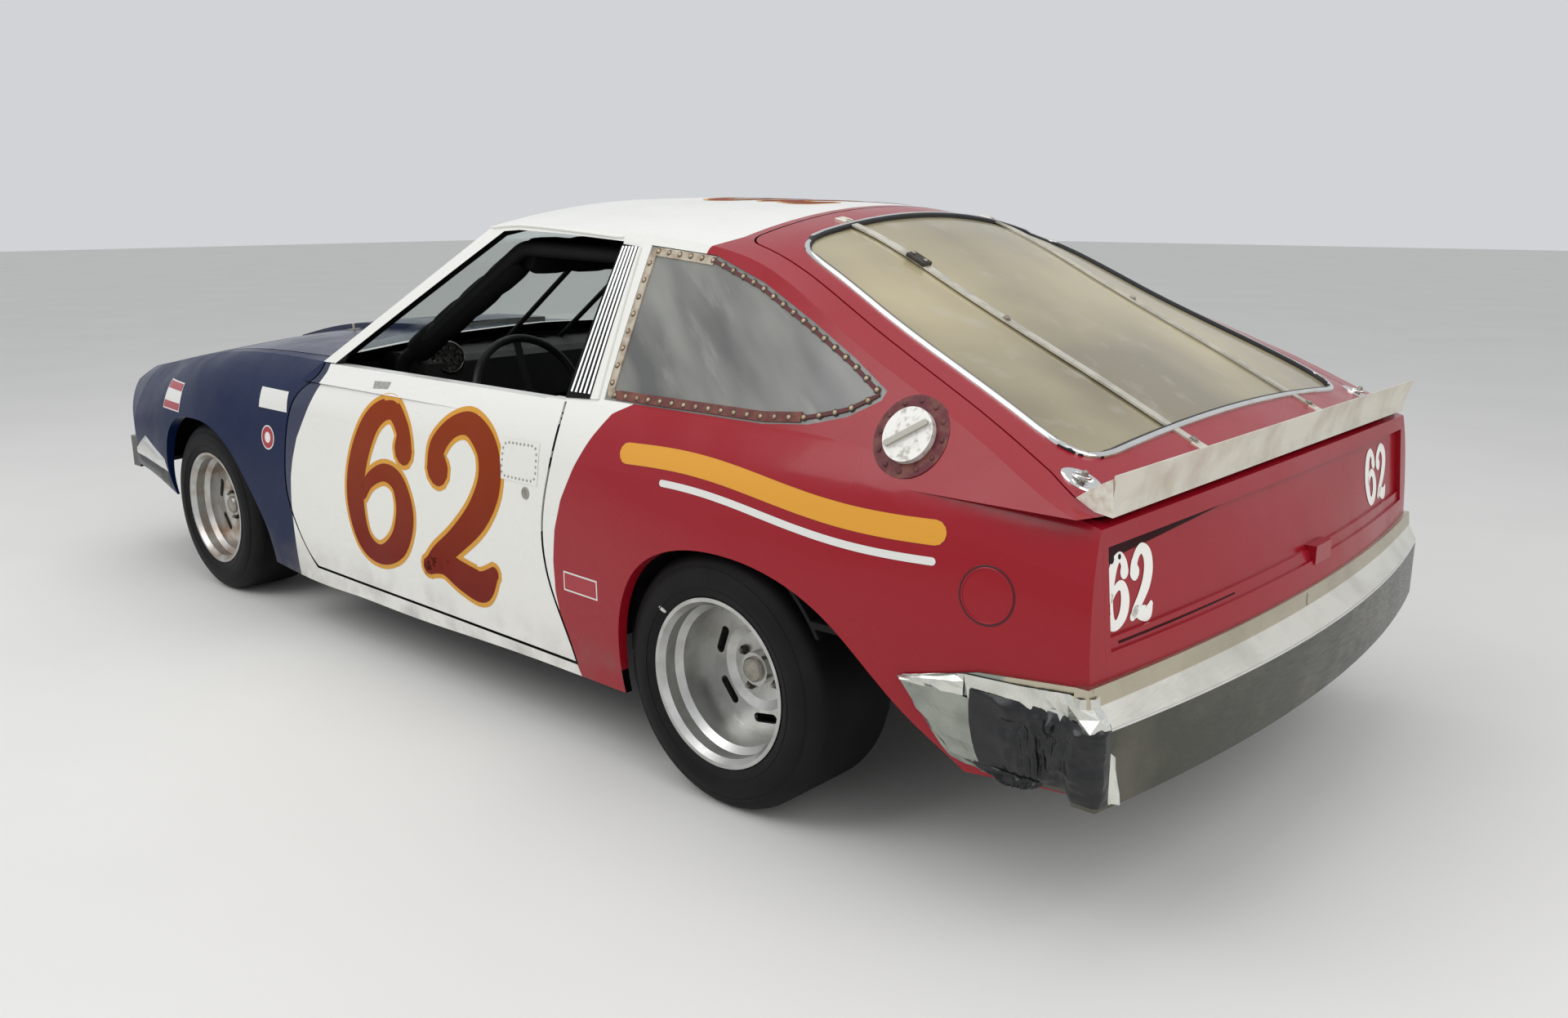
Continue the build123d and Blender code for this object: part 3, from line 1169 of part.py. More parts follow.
with BuildPart() as rear_rim_right:
    mirror(rear_rim_left.part, about=Plane.XZ)
with BuildPart() as rear_tyre_right:
    mirror(rear_tyre_left.part, about=Plane.XZ)
with BuildPart() as front_rim_right:
    mirror(front_rim_left.part, about=Plane.XZ)
with BuildPart() as front_tyre_right:
    mirror(front_tyre_left.part, about=Plane.XZ)

PIECES = {
    "door_left": door_left, "door_right": door_right, "roof_panel": roof_panel,
    "quarter_panel_left": quarter_panel_left, "quarter_panel_right": quarter_panel_right,
    "fender_left": fender_left, "fender_right": fender_right, "hood_panel": hood_panel,
    "nose_panel": nose_panel, "tail_panel": tail_panel, "windshield": windshield,
    "quarter_windows": quarter_windows, "hatch_frame": hatch_frame, "hatch_glass": hatch_glass,
    "rear_spoiler": rear_spoiler, "hatch_straps": hatch_straps, "rear_bumper": rear_bumper,
    "front_bumper": front_bumper, "headlamps": headlamps, "grille": grille, "floor_pan": floor_pan,
    "chassis_rails": chassis_rails, "rear_axle": rear_axle, "leaf_springs": leaf_springs,
    "engine_block": engine_block, "exhaust_pipes": exhaust_pipes, "knuckle_left": knuckle_left,
    "knuckle_right": knuckle_right, "control_arms": control_arms, "steering_wheel": steering_wheel,
    "steering_column": steering_column, "dashboard": dashboard, "seat": seat, "roll_cage": roll_cage,
    "fuel_cell": fuel_cell, "fuel_filler": fuel_filler, "pillar_trims": pillar_trims,
    "rear_rim_left": rear_rim_left, "rear_rim_right": rear_rim_right,
    "rear_tyre_left": rear_tyre_left, "rear_tyre_right": rear_tyre_right,
    "front_rim_left": front_rim_left, "front_rim_right": front_rim_right,
    "front_tyre_left": front_tyre_left, "front_tyre_right": front_tyre_right,
}
for label, piece in PIECES.items():
    save(piece, label)
    print(label, len(piece.part.solids()), "solids", round(piece.part.volume / 1e6, 2), "litres")
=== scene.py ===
# %% [markdown]
# A three-door hatchback, stripped and painted for circuit racing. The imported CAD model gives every
# panel, wheel and glass sheet its real shape. This lesson dresses them: paint in three colours,
# worn aluminium, hazy plastic windows with their rivets, trims, seals and the small hardware.

# %% Load the frame
import bpy
import bmesh
import math
import random
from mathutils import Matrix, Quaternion, Vector
from mathutils.bvhtree import BVHTree


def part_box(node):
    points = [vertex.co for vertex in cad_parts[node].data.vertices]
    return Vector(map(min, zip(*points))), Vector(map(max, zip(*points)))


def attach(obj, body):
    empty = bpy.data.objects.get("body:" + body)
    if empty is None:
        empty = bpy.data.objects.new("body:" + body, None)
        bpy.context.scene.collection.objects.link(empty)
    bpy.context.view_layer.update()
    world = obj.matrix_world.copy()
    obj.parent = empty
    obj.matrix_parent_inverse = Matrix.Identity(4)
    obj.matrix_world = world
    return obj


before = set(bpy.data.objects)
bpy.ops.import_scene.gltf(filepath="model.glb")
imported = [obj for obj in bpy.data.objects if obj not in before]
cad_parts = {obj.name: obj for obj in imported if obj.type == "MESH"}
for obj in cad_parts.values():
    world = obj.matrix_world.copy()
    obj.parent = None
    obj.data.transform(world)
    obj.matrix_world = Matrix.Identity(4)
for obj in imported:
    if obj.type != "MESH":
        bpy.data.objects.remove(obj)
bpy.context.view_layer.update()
print("CAD nodes:", len(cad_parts))

# %% [markdown]
# Cars are measured from their axles. Places on this one are given in millimetres ahead of the rear
# axle, to the left of the middle and above the floor, and one function turns them into metres.

# %% Places on the car
rear_low, rear_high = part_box("rear_rim_left")
REAR_AXLE_X = (rear_low.x + rear_high.x) / 2
front_low, front_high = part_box("front_rim_left")
WHEELBASE = round((front_low.x + front_high.x) / 2 - REAR_AXLE_X, 4) * 1000
AXLE_Z = (rear_low.z + rear_high.z) / 2 * 1000
SIDES = [(1, "left"), (-1, "right")]


def place(ahead, left, up):
    """A point given in millimetres ahead of the rear axle, left of the middle and above the floor."""
    return Vector((REAR_AXLE_X + ahead / 1000, left / 1000, up / 1000))


print("rear axle at", round(REAR_AXLE_X, 4), "wheelbase", WHEELBASE)

# %% [markdown]
# Materials are node trees. One small function adds a node, sets its values and links its inputs. One
# turns a colour written as sRGB hex into the linear numbers that Cycles works in. Two patterns serve
# many finishes: cloudy patches of a size in millimetres, and colours laid over each other by masks.

# %% Helpers for materials
MM = 0.001


def linear(hex_colour):
    """An sRGB hex colour as linear RGBA."""
    parts = [int(hex_colour[i:i + 2], 16) / 255 for i in (1, 3, 5)]
    return (*[c / 12.92 if c <= 0.04045 else ((c + 0.055) / 1.055) ** 2.4 for c in parts], 1.0)


def feed(tree, node, values):
    """Fill a node's inputs, by name or number. Each value is a constant or another node's output."""
    for key, value in dict(values).items():
        if isinstance(value, bpy.types.NodeSocket):
            tree.links.new(value, node.inputs[key])
        else:
            node.inputs[key].default_value = value


def put(tree, kind, values=(), **settings):
    """Add a node with its settings, values and links."""
    made = tree.nodes.new(kind)
    for name, value in settings.items():
        setattr(made, name, value)
    feed(tree, made, values)
    return made


def new_material(name):
    """An empty material: its tree, its shader and a socket with Object coordinates."""
    material = bpy.data.materials.new(name)
    material.use_nodes = True
    tree = material.node_tree
    shader = tree.nodes["Principled BSDF"]
    coords = put(tree, "ShaderNodeTexCoord").outputs["Object"]
    return material, tree, shader, coords


def patches(tree, coords, size_mm, low=0.4, high=0.7, out=(0.0, 1.0), detail=3.0, stretch=(1, 1, 1)):
    """Cloudy patches about size_mm across, drawn out where stretch is small: noise cut from low to high."""
    scaled = put(tree, "ShaderNodeMapping", {0: coords, "Scale": stretch}).outputs[0]
    scale = 1 / (size_mm * MM)
    cloud = put(tree, "ShaderNodeTexNoise", {"Vector": scaled, "Scale": scale, "Detail": detail})
    cut = {0: cloud.outputs["Fac"], 1: low, 2: high, 3: out[0], 4: out[1]}
    return put(tree, "ShaderNodeMapRange", cut).outputs[0]


def layered(tree, colour, layers):
    """A hex colour with others laid over it one after another, each by a mask between 0 and 1."""
    base = linear(colour)
    for mask, above in layers:
        above = linear(above) if isinstance(above, str) else above
        base = put(tree, "ShaderNodeMix", {0: mask, 6: base, 7: above}, data_type="RGBA").outputs[2]
    return base


def surface(tree, shader, colour, rough, height, strength, depth_mm, others=()):
    """Give the shader its colour, its roughness, a relief up to a depth in mm, and other values."""
    depth = depth_mm * MM
    relief = put(tree, "ShaderNodeBump", {"Height": height, "Strength": strength, "Distance": depth})
    feed(tree, shader, {"Base Color": colour, "Roughness": rough, "Normal": relief.outputs[0]})
    feed(tree, shader, others)


# %% [markdown]
# The body is sprayed in three enamels that meet along curved edges. Each edge is a list of places on
# the car's side, so the mask that tells the colours apart is a curve: for each height it gives how
# far ahead the edge lies, and everything ahead of it takes the next colour.

# %% Enamel paint
BODY_HEIGHT = 1400
LENGTH_LOW = -1200
LENGTH_HIGH = 3600
EDGE_BLUR = 0.8
RED_TO_WHITE = [(451, 180), (481, 246), (510, 319), (526, 393), (529, 469), (521, 546), (497, 624),
                (454, 703), (402, 779), (355, 838), (301, 862), (237, 1202), (203, 1225), (200, 1300)]
WHITE_TO_BLUE = [(1839, 189), (1836, 268), (1832, 349), (1829, 408), (1820, 486), (1803, 546), (1774, 615),
                 (1732, 675), (1689, 734), (1663, 776), (1630, 823), (1624, 870)]
COWL_EDGE = [(1716, 800), (1716, 912), (3000, 925)]
ROAD_DUST = "#6d6459"
BARE_PRIMER = "#4a3d34"
DUST_LOW = 160
DUST_HIGH = 330
DUST_SHARE = 0.55
# Faces that look into the car carry this attribute; the cabin and wheel housings are sprayed black.
INNER = "inner_face"
INNER_BLACK = "#0c0c0d"


def ahead_of(tree, coords, edge):
    """1 ahead of an edge drawn as (ahead, up) places on the car's side, and 0 behind it."""
    split = put(tree, "ShaderNodeSeparateXYZ", {0: coords})
    height = put(tree, "ShaderNodeMapRange", {0: split.outputs[2], 1: 0.0, 2: BODY_HEIGHT * MM}).outputs[0]
    curve = put(tree, "ShaderNodeFloatCurve", {"Value": height})
    line = curve.mapping.curves[0]
    length = LENGTH_HIGH - LENGTH_LOW
    spots = sorted((up / BODY_HEIGHT, (ahead - LENGTH_LOW) / length) for ahead, up in edge)
    line.points[0].location = spots[0]
    line.points[1].location = spots[-1]
    for spot in spots[1:-1]:
        line.points.new(*spot)
    for point in line.points:
        point.handle_type = "VECTOR"
    curve.mapping.extend = "HORIZONTAL"
    curve.mapping.update()
    low = REAR_AXLE_X + LENGTH_LOW * MM
    high = REAR_AXLE_X + LENGTH_HIGH * MM
    edge_x = put(tree, "ShaderNodeMapRange", {0: curve.outputs[0], 3: low, 4: high}).outputs[0]
    past = put(tree, "ShaderNodeMath", {0: split.outputs[0], 1: edge_x}, operation="SUBTRACT").outputs[0]
    return put(tree, "ShaderNodeMapRange", {0: past, 1: -EDGE_BLUR * MM, 2: EDGE_BLUR * MM}).outputs[0]


def enamel(name, colour, zones=(), gloss=0.28, coat=0.3, shine=0.3, foot=None):
    """Sprayed enamel, dusty low down, with chips; zones are (edge, colour), foot (colour, low, high)."""
    material, tree, shader, coords = new_material(name)
    height = put(tree, "ShaderNodeSeparateXYZ", {0: coords}).outputs[2]
    low_down = {0: height, 1: DUST_LOW * MM, 2: DUST_HIGH * MM, 3: DUST_SHARE, 4: 0.0}
    low_down = put(tree, "ShaderNodeMapRange", low_down).outputs[0]
    cloud = patches(tree, coords, 90, 0.42, 0.75, detail=5.0)
    dust = put(tree, "ShaderNodeMath", {0: low_down, 1: cloud}, operation="MULTIPLY").outputs[0]
    specks = patches(tree, coords, 9, 0.735, 0.75, detail=4.0)
    clusters = patches(tree, coords, 260, 0.5, 0.62, detail=2.0)
    chips = put(tree, "ShaderNodeMath", {0: specks, 1: clusters}, operation="MULTIPLY").outputs[0]
    layers = [(ahead_of(tree, coords, edge), ahead_colour) for edge, ahead_colour in zones]
    if foot:
        faded = {0: height, 1: foot[1] * MM, 2: foot[2] * MM, 3: 1.0, 4: 0.0}
        layers.append((put(tree, "ShaderNodeMapRange", faded).outputs[0], foot[0]))
    inner = put(tree, "ShaderNodeAttribute", attribute_name=INNER).outputs["Fac"]
    layers += [(dust, ROAD_DUST), (chips, BARE_PRIMER), (inner, INNER_BLACK)]
    rough = patches(tree, coords, 160, 0.35, 0.7, (gloss - 0.05, gloss + 0.12), 4.0)
    # The spray's orange peel is drawn 3.5 mm wide, coarser than the real one, so that it shows.
    orange_peel = patches(tree, coords, 3.5, 0.0, 1.0, detail=2.0)
    surface(tree, shader, layered(tree, colour, layers), rough, orange_peel, 0.08, 0.25, {
        "Specular IOR Level": shine, "Coat Weight": coat, "Coat Roughness": 0.1,
    })
    return material


WHITE = "#e3e2dc"
CRIMSON = "#93101f"
NAVY = "#0a1a3e"
# After the edges come the roughness, the clear coat's share and how strongly the paint mirrors.
# One coat of white with a chalky gloss; the sweep at its front edge turns to navy on the same panel.
door_paint = enamel("white_enamel_door", WHITE, [(WHITE_TO_BLUE, NAVY)])
# The roof is the brightest face: white, but crimson behind the windows and navy at the cowl.
roof_paint = enamel("white_enamel_roof", CRIMSON, [(RED_TO_WHITE, WHITE), (COWL_EDGE, NAVY)])
# Deep crimson, laid smoother than the white, so its highlights are sharper.
quarter_paint = enamel("crimson_enamel_quarter", CRIMSON, [(RED_TO_WHITE, WHITE)], 0.24, 0.25, 0.22)
# Navy that has gone slightly matt, so highlights on it are broad and soft.
fender_paint = enamel("navy_enamel_fender", WHITE, [(WHITE_TO_BLUE, NAVY)], 0.32, 0.05, 0.1)
# The hood faces the sky and keeps more of its clear coat.
hood_paint = enamel("navy_enamel_hood", NAVY, (), 0.3, 0.25, 0.2)
# The same crimson and white with no edge in them, for the hatch, the tail and small parts.
crimson_paint = enamel("crimson_enamel", CRIMSON, (), 0.24, 0.25, 0.22)
white_paint = enamel("white_enamel_plain", WHITE)
print("paints:", len(bpy.data.materials))

# %% [markdown]
# Bare aluminium sheet goes dull and blotchy. It is a metal with a high roughness, a brushed grain
# drawn out along the sheet and stains that cut its reflection. Steel, chrome, rubber and plastics
# follow the same plan: a base colour, the size of its grain, and what wear does to its gloss. Real
# grains are finer than a pixel here, so all of them are drawn 1 to 8 mm wide.

# %% Metals, rubbers and plastics
EVEN = (1, 1, 1)
ACROSS = (1, 0.05, 1)
UPRIGHT = (1, 1, 0.05)


def metal(name, colour, stain, rough=0.4, grain=EVEN, grain_mm=4, blotch_mm=60, blotch=0.5, dents=0.2):
    """Bare metal with a grain, blotches of stain and shallow dents."""
    material, tree, shader, coords = new_material(name)
    stains = patches(tree, coords, blotch_mm, 0.42, 0.72, (0.0, blotch), 5.0)
    lines = patches(tree, coords, grain_mm, 0.3, 0.7, (rough - 0.08, rough + 0.12), 3.0, grain)
    waves = patches(tree, coords, 70, 0.0, 1.0, detail=2.0)
    waves = put(tree, "ShaderNodeMath", {0: lines, 1: 0.1, 2: waves}, operation="MULTIPLY_ADD").outputs[0]
    stained = layered(tree, colour, [(stains, stain)])
    surface(tree, shader, stained, lines, waves, dents, 3, {"Metallic": 1.0})
    return material


def plain(name, colour, second, rough=0.55, grain_mm=2.0, patch_mm=80, mixing=0.5, depth=0.3, shine=0.5):
    """A non-metal with a fine grain and patches of a second colour."""
    material, tree, shader, coords = new_material(name)
    spread = patches(tree, coords, patch_mm, 0.4, 0.7, (0.0, mixing), 5.0)
    grain = patches(tree, coords, grain_mm, 0.3, 0.7, (rough - 0.06, rough + 0.1), 2.0)
    patched = layered(tree, colour, [(spread, second)])
    surface(tree, shader, patched, grain, grain, 0.9, depth, {"Specular IOR Level": shine})
    return material


# A metal's numbers: roughness, grain's direction, sizes of grain and blotches in mm, strength of
# blotches and of dents. A non-metal's: roughness, sizes of grain and patches in mm, their strength,
# and the grain's depth in mm.
# Dull warm grey with a faint grain across the car: it mirrors nothing, only brightens towards light.
spoiler_sheet = metal("dull_aluminium_sheet", "#ebe6da", "#c4b9a6", 0.52, ACROSS, 3, 90, 0.6, 0.1)
# Plating gives thin sharp highlights, with a few dull spots.
chrome = metal("chrome_plate", "#e6e6e4", "#b8b4ac", 0.1, EVEN, 8, 40, 0.3, 0.02)
# The front bar's plating is given a dark grey base colour.
dark_chrome = metal("dark_grey_chrome_bar", "#6c6b68", "#3f3d3a", 0.22, EVEN, 8, 90, 0.6, 0.05)
# The hold-down straps are dull steel, darker than the sheet.
strap_steel = metal("dull_strap_steel", "#e0dccf", "#a8a295", 0.45, EVEN, 3, 40, 0.6, 0.1)
# Zinc on small fasteners: grey with a brown bloom and hardly any glint.
zinc_steel = metal("zinc_plated_steel", "#a9a59b", "#6f675b", 0.42, EVEN, 3, 20, 0.6, 0.1)
# Silver paint over steel: metallic, but soft and even.
wheel_steel = metal("silver_painted_steel", "#c6c6c3", "#8f8c86", 0.36, EVEN, 5, 50, 0.45, 0.03)
# The front wheels' lips have lost paint and gone brown.
rusty_wheel = metal("rust_spotted_silver_paint", "#c6c6c3", "#8f6a45", 0.38, EVEN, 5, 70, 0.75, 0.05)
# Oily bare steel under the car, which only shows where light grazes it.
dark_steel = metal("bare_dark_steel", "#55514b", "#2f2a26", 0.5, EVEN, 4, 60, 0.6, 0.1)
# Age takes the shine off the small heads, so they read as tan beads, some of them browner.
rusty_rivet = metal("dulled_rivet_head", "#b9a88e", "#7a5a42", 0.5, EVEN, 2, 9, 0.7, 0.1)
# Worn slick rubber: nearly black, greyer where the road has rubbed it.
tyre_rubber = plain("slick_tyre_rubber", "#08080a", "#151414", 0.6, 1.2, 70, 0.6, 0.25, shine=0.22)
# Seals are smoother than tyres, so they carry a thin line of light.
seal_rubber = plain("black_seal_rubber", "#111112", "#1d1d1e", 0.5, 1.5, 30, 0.4, 0.2)
# Flat black paint hides the cabin's edges and lets only the highest ones show.
cabin_black = plain("flat_black_cabin_paint", "#0b0b0c", "#141414", 0.7, 2.0, 200, 0.5, 0.2, shine=0.25)
# Grained vinyl, rubbed to a warm dark grey.
dash_plastic = plain("worn_dash_vinyl", "#171716", "#262422", 0.6, 1.0, 120, 0.6, 0.4)
# Moulded plastic: an even satin black.
black_plastic = plain("moulded_black_plastic", "#161617", "#202021", 0.5, 1.5, 90, 0.4, 0.2)
# Open foam swallows light, so the padding is the darkest thing in the cabin.
pad_foam = plain("black_pad_foam", "#09090a", "#111111", 0.85, 1.5, 40, 0.4, 0.4, shine=0.2)

# The rear bumper is one CAD piece of folded sheet with three looks: a matt filler band at its top, a
# bright ledge, and a smooth lower face whose reflection of the ground is painted into its colour as a
# darker grey. Its side wrap is greener. Heights and the distance from the middle tell them apart.
BUMPER_FACE_TOP = 440
BUMPER_BAND_FOOT = 475
BUMPER_SIDE = 853
material, tree, shader, coords = new_material("worn_aluminium_bumper_painted_reflection")
axes = put(tree, "ShaderNodeSeparateXYZ", {0: coords})
aside = put(tree, "ShaderNodeMath", {0: axes.outputs[1]}, operation="ABSOLUTE").outputs[0]
on_wrap = {0: aside, 1: (BUMPER_SIDE - 0.5) * MM, 2: (BUMPER_SIDE + 0.5) * MM}
on_wrap = put(tree, "ShaderNodeMapRange", on_wrap).outputs[0]
# Below this height the colour is a darker grey: a painted reflection of the dark ground.
face_painted_reflection = {0: axes.outputs[2], 1: (BUMPER_FACE_TOP - 1) * MM, 2: BUMPER_FACE_TOP * MM, 3: 1.0, 4: 0.0}
face_painted_reflection = put(tree, "ShaderNodeMapRange", face_painted_reflection).outputs[0]
on_band = {0: axes.outputs[2], 1: BUMPER_BAND_FOOT * MM, 2: (BUMPER_BAND_FOOT + 2) * MM}
on_band = put(tree, "ShaderNodeMapRange", on_band).outputs[0]
stains = patches(tree, coords, 140, 0.45, 0.75, (0.0, 0.35), 5.0)
bumper_layers = [(face_painted_reflection, "#55564f"), (on_band, "#c3bba7"), (on_wrap, "#98a098"), (stains, "#8e8779")]
grain = patches(tree, coords, 3, 0.3, 0.7, (0.26, 0.42), 3.0, ACROSS)
dents = patches(tree, coords, 110, 0.0, 1.0, detail=2.0)
surface(tree, shader, layered(tree, "#f0ede2", bumper_layers), grain, dents, 0.25, 4, {"Metallic": 1.0})
bumper_sheet = material
print("materials:", len(bpy.data.materials))

# %% [markdown]
# The windshield is clear laminated glass. The rear side windows and the hatch's pane are plastic
# sheets gone hazy: light scatters in them, so they are part diffuse and part clear, with long
# streaks where they were wiped.

# %% Glass and hazy sheets
STREAK_LEAN = (0, math.radians(38), 0)


def hazy_sheet(name, pale, dark, clear, rough, streak_mm=200, lean=(0, 0, 0), stretch=(0.4, 1, 2.0)):
    """A scratched plastic sheet, partly clear, with cloudy streaks that lean."""
    material, tree, shader, coords = new_material(name)
    leaning = put(tree, "ShaderNodeMapping", {0: coords, "Rotation": lean}).outputs[0]
    clouds = patches(tree, leaning, streak_mm, 0.38, 0.64, detail=3.0, stretch=stretch)
    scratches = patches(tree, leaning, 70, 0.58, 0.74, (0.0, 0.3), 6.0, (0.12, 1, 2.0))
    base = layered(tree, dark, [(clouds, pale), (scratches, "#b9b6ad")])
    rough = put(tree, "ShaderNodeMapRange", {0: clouds, 3: rough, 4: rough + 0.2}).outputs[0]
    waves = patches(tree, coords, 260, 0.0, 1.0, detail=1.0)
    surface(tree, shader, base, rough, waves, 0.1, 8, {
        "Transmission Weight": clear, "IOR": 1.58, "Coat Weight": 0.5, "Coat Roughness": 0.08,
    })
    return material


def clear_glass(name, tint):
    """Clear laminated glass with faint smears."""
    material, tree, shader, coords = new_material(name)
    smears = patches(tree, coords, 120, 0.45, 0.8, (0.02, 0.22), 4.0, (1, 0.5, 1))
    feed(tree, shader, {
        "Base Color": linear(tint), "Roughness": smears, "Transmission Weight": 1.0, "IOR": 1.1,
    })
    return material


# Grey-green haze with streaks that fall forwards: the cabin behind shows only as dark shapes.
side_pane = hazy_sheet("hazy_polycarbonate_side", "#9c9c93", "#555653", 0.25, 0.28, 330, STREAK_LEAN)
# The hatch's sheet has yellowed and is nearly opaque, so it reads as a beige field.
hatch_pane = hazy_sheet("hazy_polycarbonate_hatch", "#b8ab86", "#7f7456", 0.12, 0.26, 700)
# Clear glass with a trace of green; its low IOR stands for a thin sheet that hardly bends light.
windshield_glass = clear_glass("laminated_windshield", "#dfe6e2")
# The lamps' flat panes are colourless.
lamp_glass = clear_glass("headlamp_lens", "#e8ecee")

# %% [markdown]
# Every CAD node keeps its mesh and only gets its finish. A table gives each material's nodes. The
# pillar trims and the fuel filler have finishes of their own, which come with their hardware below.

# %% Dress the CAD nodes
FINISHES = [
    (door_paint, "door_left", "door_right"),
    (roof_paint, "roof_panel"),
    (quarter_paint, "quarter_panel_left", "quarter_panel_right"),
    (fender_paint, "fender_left", "fender_right"),
    (hood_paint, "hood_panel", "nose_panel"),
    (crimson_paint, "tail_panel", "hatch_frame"),
    (windshield_glass, "windshield"),
    (side_pane, "quarter_windows"),
    (hatch_pane, "hatch_glass"),
    (lamp_glass, "headlamps"),
    (spoiler_sheet, "rear_spoiler"),
    (strap_steel, "hatch_straps"),
    (bumper_sheet, "rear_bumper"),
    (dark_chrome, "front_bumper"),
    (seal_rubber, "steering_wheel"),
    (dash_plastic, "dashboard"),
    (black_plastic, "grille", "seat", "fuel_cell"),
    (cabin_black, "floor_pan", "chassis_rails", "roll_cage"),
    (dark_steel, "rear_axle", "leaf_springs", "engine_block", "exhaust_pipes", "knuckle_left",
     "knuckle_right", "control_arms", "steering_column"),
    (wheel_steel, "rear_rim_left", "rear_rim_right"),
    (rusty_wheel, "front_rim_left", "front_rim_right"),
    (tyre_rubber, "rear_tyre_left", "rear_tyre_right", "front_tyre_left", "front_tyre_right"),
]


def finish_node(node, finish):
    """Give a CAD node one finish."""
    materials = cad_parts[node].data.materials
    materials.clear()
    materials.append(finish)


for finish, *nodes in FINISHES:
    for node in nodes:
        finish_node(node, finish)
print("dressed", sum(len(row) - 1 for row in FINISHES), "of", len(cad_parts), "nodes")

# %% [markdown]
# A panel is one thin solid, and its back is black while its front has the car's colours. A number
# on each face tells the paint which is which: a face looks inwards when its normal points towards
# a line through the middle of the body.

# %% Mark the inner faces of the panels
PANELS = ["door_left", "door_right", "roof_panel", "quarter_panel_left", "quarter_panel_right",
          "fender_left", "fender_right", "hood_panel", "hatch_frame"]
END_PANELS = {"nose_panel": Vector((1, 0, 0)), "tail_panel": Vector((-1, 0, 0))}
CORE_REAR = place(-700, 0, 640)
CORE_FRONT = place(2900, 0, 560)
CORE_RISE = Vector((0, 0, 0.12))
core_run = CORE_FRONT - CORE_REAR


def mark_inner(node, marks):
    """Keep one number for each face of a CAD node."""
    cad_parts[node].data.attributes.new(INNER, "FLOAT", "FACE").data.foreach_set("value", marks)


for node in PANELS:
    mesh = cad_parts[node].data
    marks = []
    for face in mesh.polygons:
        share = (face.center - CORE_REAR).dot(core_run) / core_run.length_squared
        core = CORE_REAR + core_run * min(1.0, max(0.0, share)) + CORE_RISE
        marks.append(1.0 if face.normal.dot(face.center - core) < 0 else 0.0)
    mark_inner(node, marks)
for node, outwards in END_PANELS.items():
    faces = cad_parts[node].data.polygons
    mark_inner(node, [1.0 if face.normal.dot(outwards) < -0.5 else 0.0 for face in faces])

# %% [markdown]
# Trims, seals, rivets and painted numbers all lie on the skin. Rays cast onto the CAD panels find
# where: from the side for the doors and quarters, from above for the hatch. Each spot keeps its
# point and the skin's normal there.

# %% Find places on the skin


def skin(*nodes):
    """A search tree over the surfaces of some CAD nodes."""
    corners = []
    faces = []
    for node in nodes:
        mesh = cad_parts[node].data
        first = len(corners)
        corners += [v.co.copy() for v in mesh.vertices]
        faces += [[first + i for i in face.vertices] for face in mesh.polygons]
    return BVHTree.FromPolygons(corners, faces)


def cast(tree, start, direction):
    """The first spot that a ray meets, as a point and an outward normal, or None."""
    point, normal, _, _ = tree.ray_cast(start, direction)
    if point is None:
        # A ray can slip between two triangles, so it is sent once more a hair's breadth away.
        point, normal, _, _ = tree.ray_cast(start + Vector((0.3, 0.3, 0.3)) * MM, direction)
    if point is None:
        return None
    if normal.dot(direction) > 0:
        normal = -normal
    return point, normal


# Rays start this far behind the rear axle, out from the middle and above the floor.
FAR_BEHIND = -1400
FAR_OUT = 1300
FAR_UP = 1700
# In metres: a ray that meets the skin nearer to the middle than this has gone past its own side.
NEAR_SIDE = 0.4


def side_search(tree, side=1):
    """A function that finds where an (ahead, up) place lies on one side's skin."""
    return lambda p: cast(tree, place(p[0], side * FAR_OUT, p[1]), Vector((0, -side, 0)))


def top_search(tree):
    """A function that finds where an (ahead, left) place lies, seen from above."""
    return lambda p: cast(tree, place(p[0], p[1], FAR_UP), Vector((0, 0, -1)))


def back_search(tree):
    """A function that finds where a (left, up) place lies, seen from behind."""
    return lambda p: cast(tree, place(FAR_BEHIND, p[0], p[1]), Vector((1, 0, 0)))


def find(search, path):
    """The spots that a search meets along a path of places."""
    return [spot for spot in map(search, path) if spot]


def rounded(corners, radius, step, closed=True):
    """Evenly spaced places along straight runs that round corners join, in two dimensions."""
    path = []
    count = len(corners)
    for i in range(count):
        here = Vector(corners[i])
        if not closed and i in (0, count - 1):
            path.append(here)
            continue
        before = Vector(corners[i - 1]) - here
        after = Vector(corners[(i + 1) % count]) - here
        reach = min(radius, before.length * 0.45, after.length * 0.45)
        start = here + before.normalized() * reach
        finish = here + after.normalized() * reach
        for t in (0.0, 0.2, 0.4, 0.6, 0.8, 1.0):
            path.append((1 - t) ** 2 * start + 2 * t * (1 - t) * here + t * t * finish)
    if closed:
        path.append(path[0].copy())
    lengths = [0.0]
    for a, b in zip(path, path[1:]):
        lengths.append(lengths[-1] + (b - a).length)
    pieces = max(2, round(lengths[-1] / step))
    even = []
    span = 0
    for i in range(pieces if closed else pieces + 1):
        want = lengths[-1] * i / pieces
        while span < len(path) - 2 and lengths[span + 1] < want:
            span += 1
        share = (want - lengths[span]) / max(1e-9, lengths[span + 1] - lengths[span])
        even.append(tuple(path[span].lerp(path[span + 1], share)))
    return even


WELD = 0.02
SHARP_ANGLE = math.radians(38)
# Words in a finish's name, and the record's slot that it stands for
SLOT_WORDS = [("white", "white_paint"), ("navy", "navy_paint"), ("crimson", "crimson_paint"),
              ("hazy", "hazy_sheet"), ("windshield", "clear_glass"), ("aluminium", "dull_aluminium"),
              ("chrome", "dull_aluminium"), ("steel", "steel"), ("rubber", "tyre_rubber")]


def join_body(piece, finish, body):
    """Let a piece ride on a body; a slot is looked up for its finish but not used."""
    for word, slot in SLOT_WORDS:
        if word in finish.name:
            break
    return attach(piece, body)


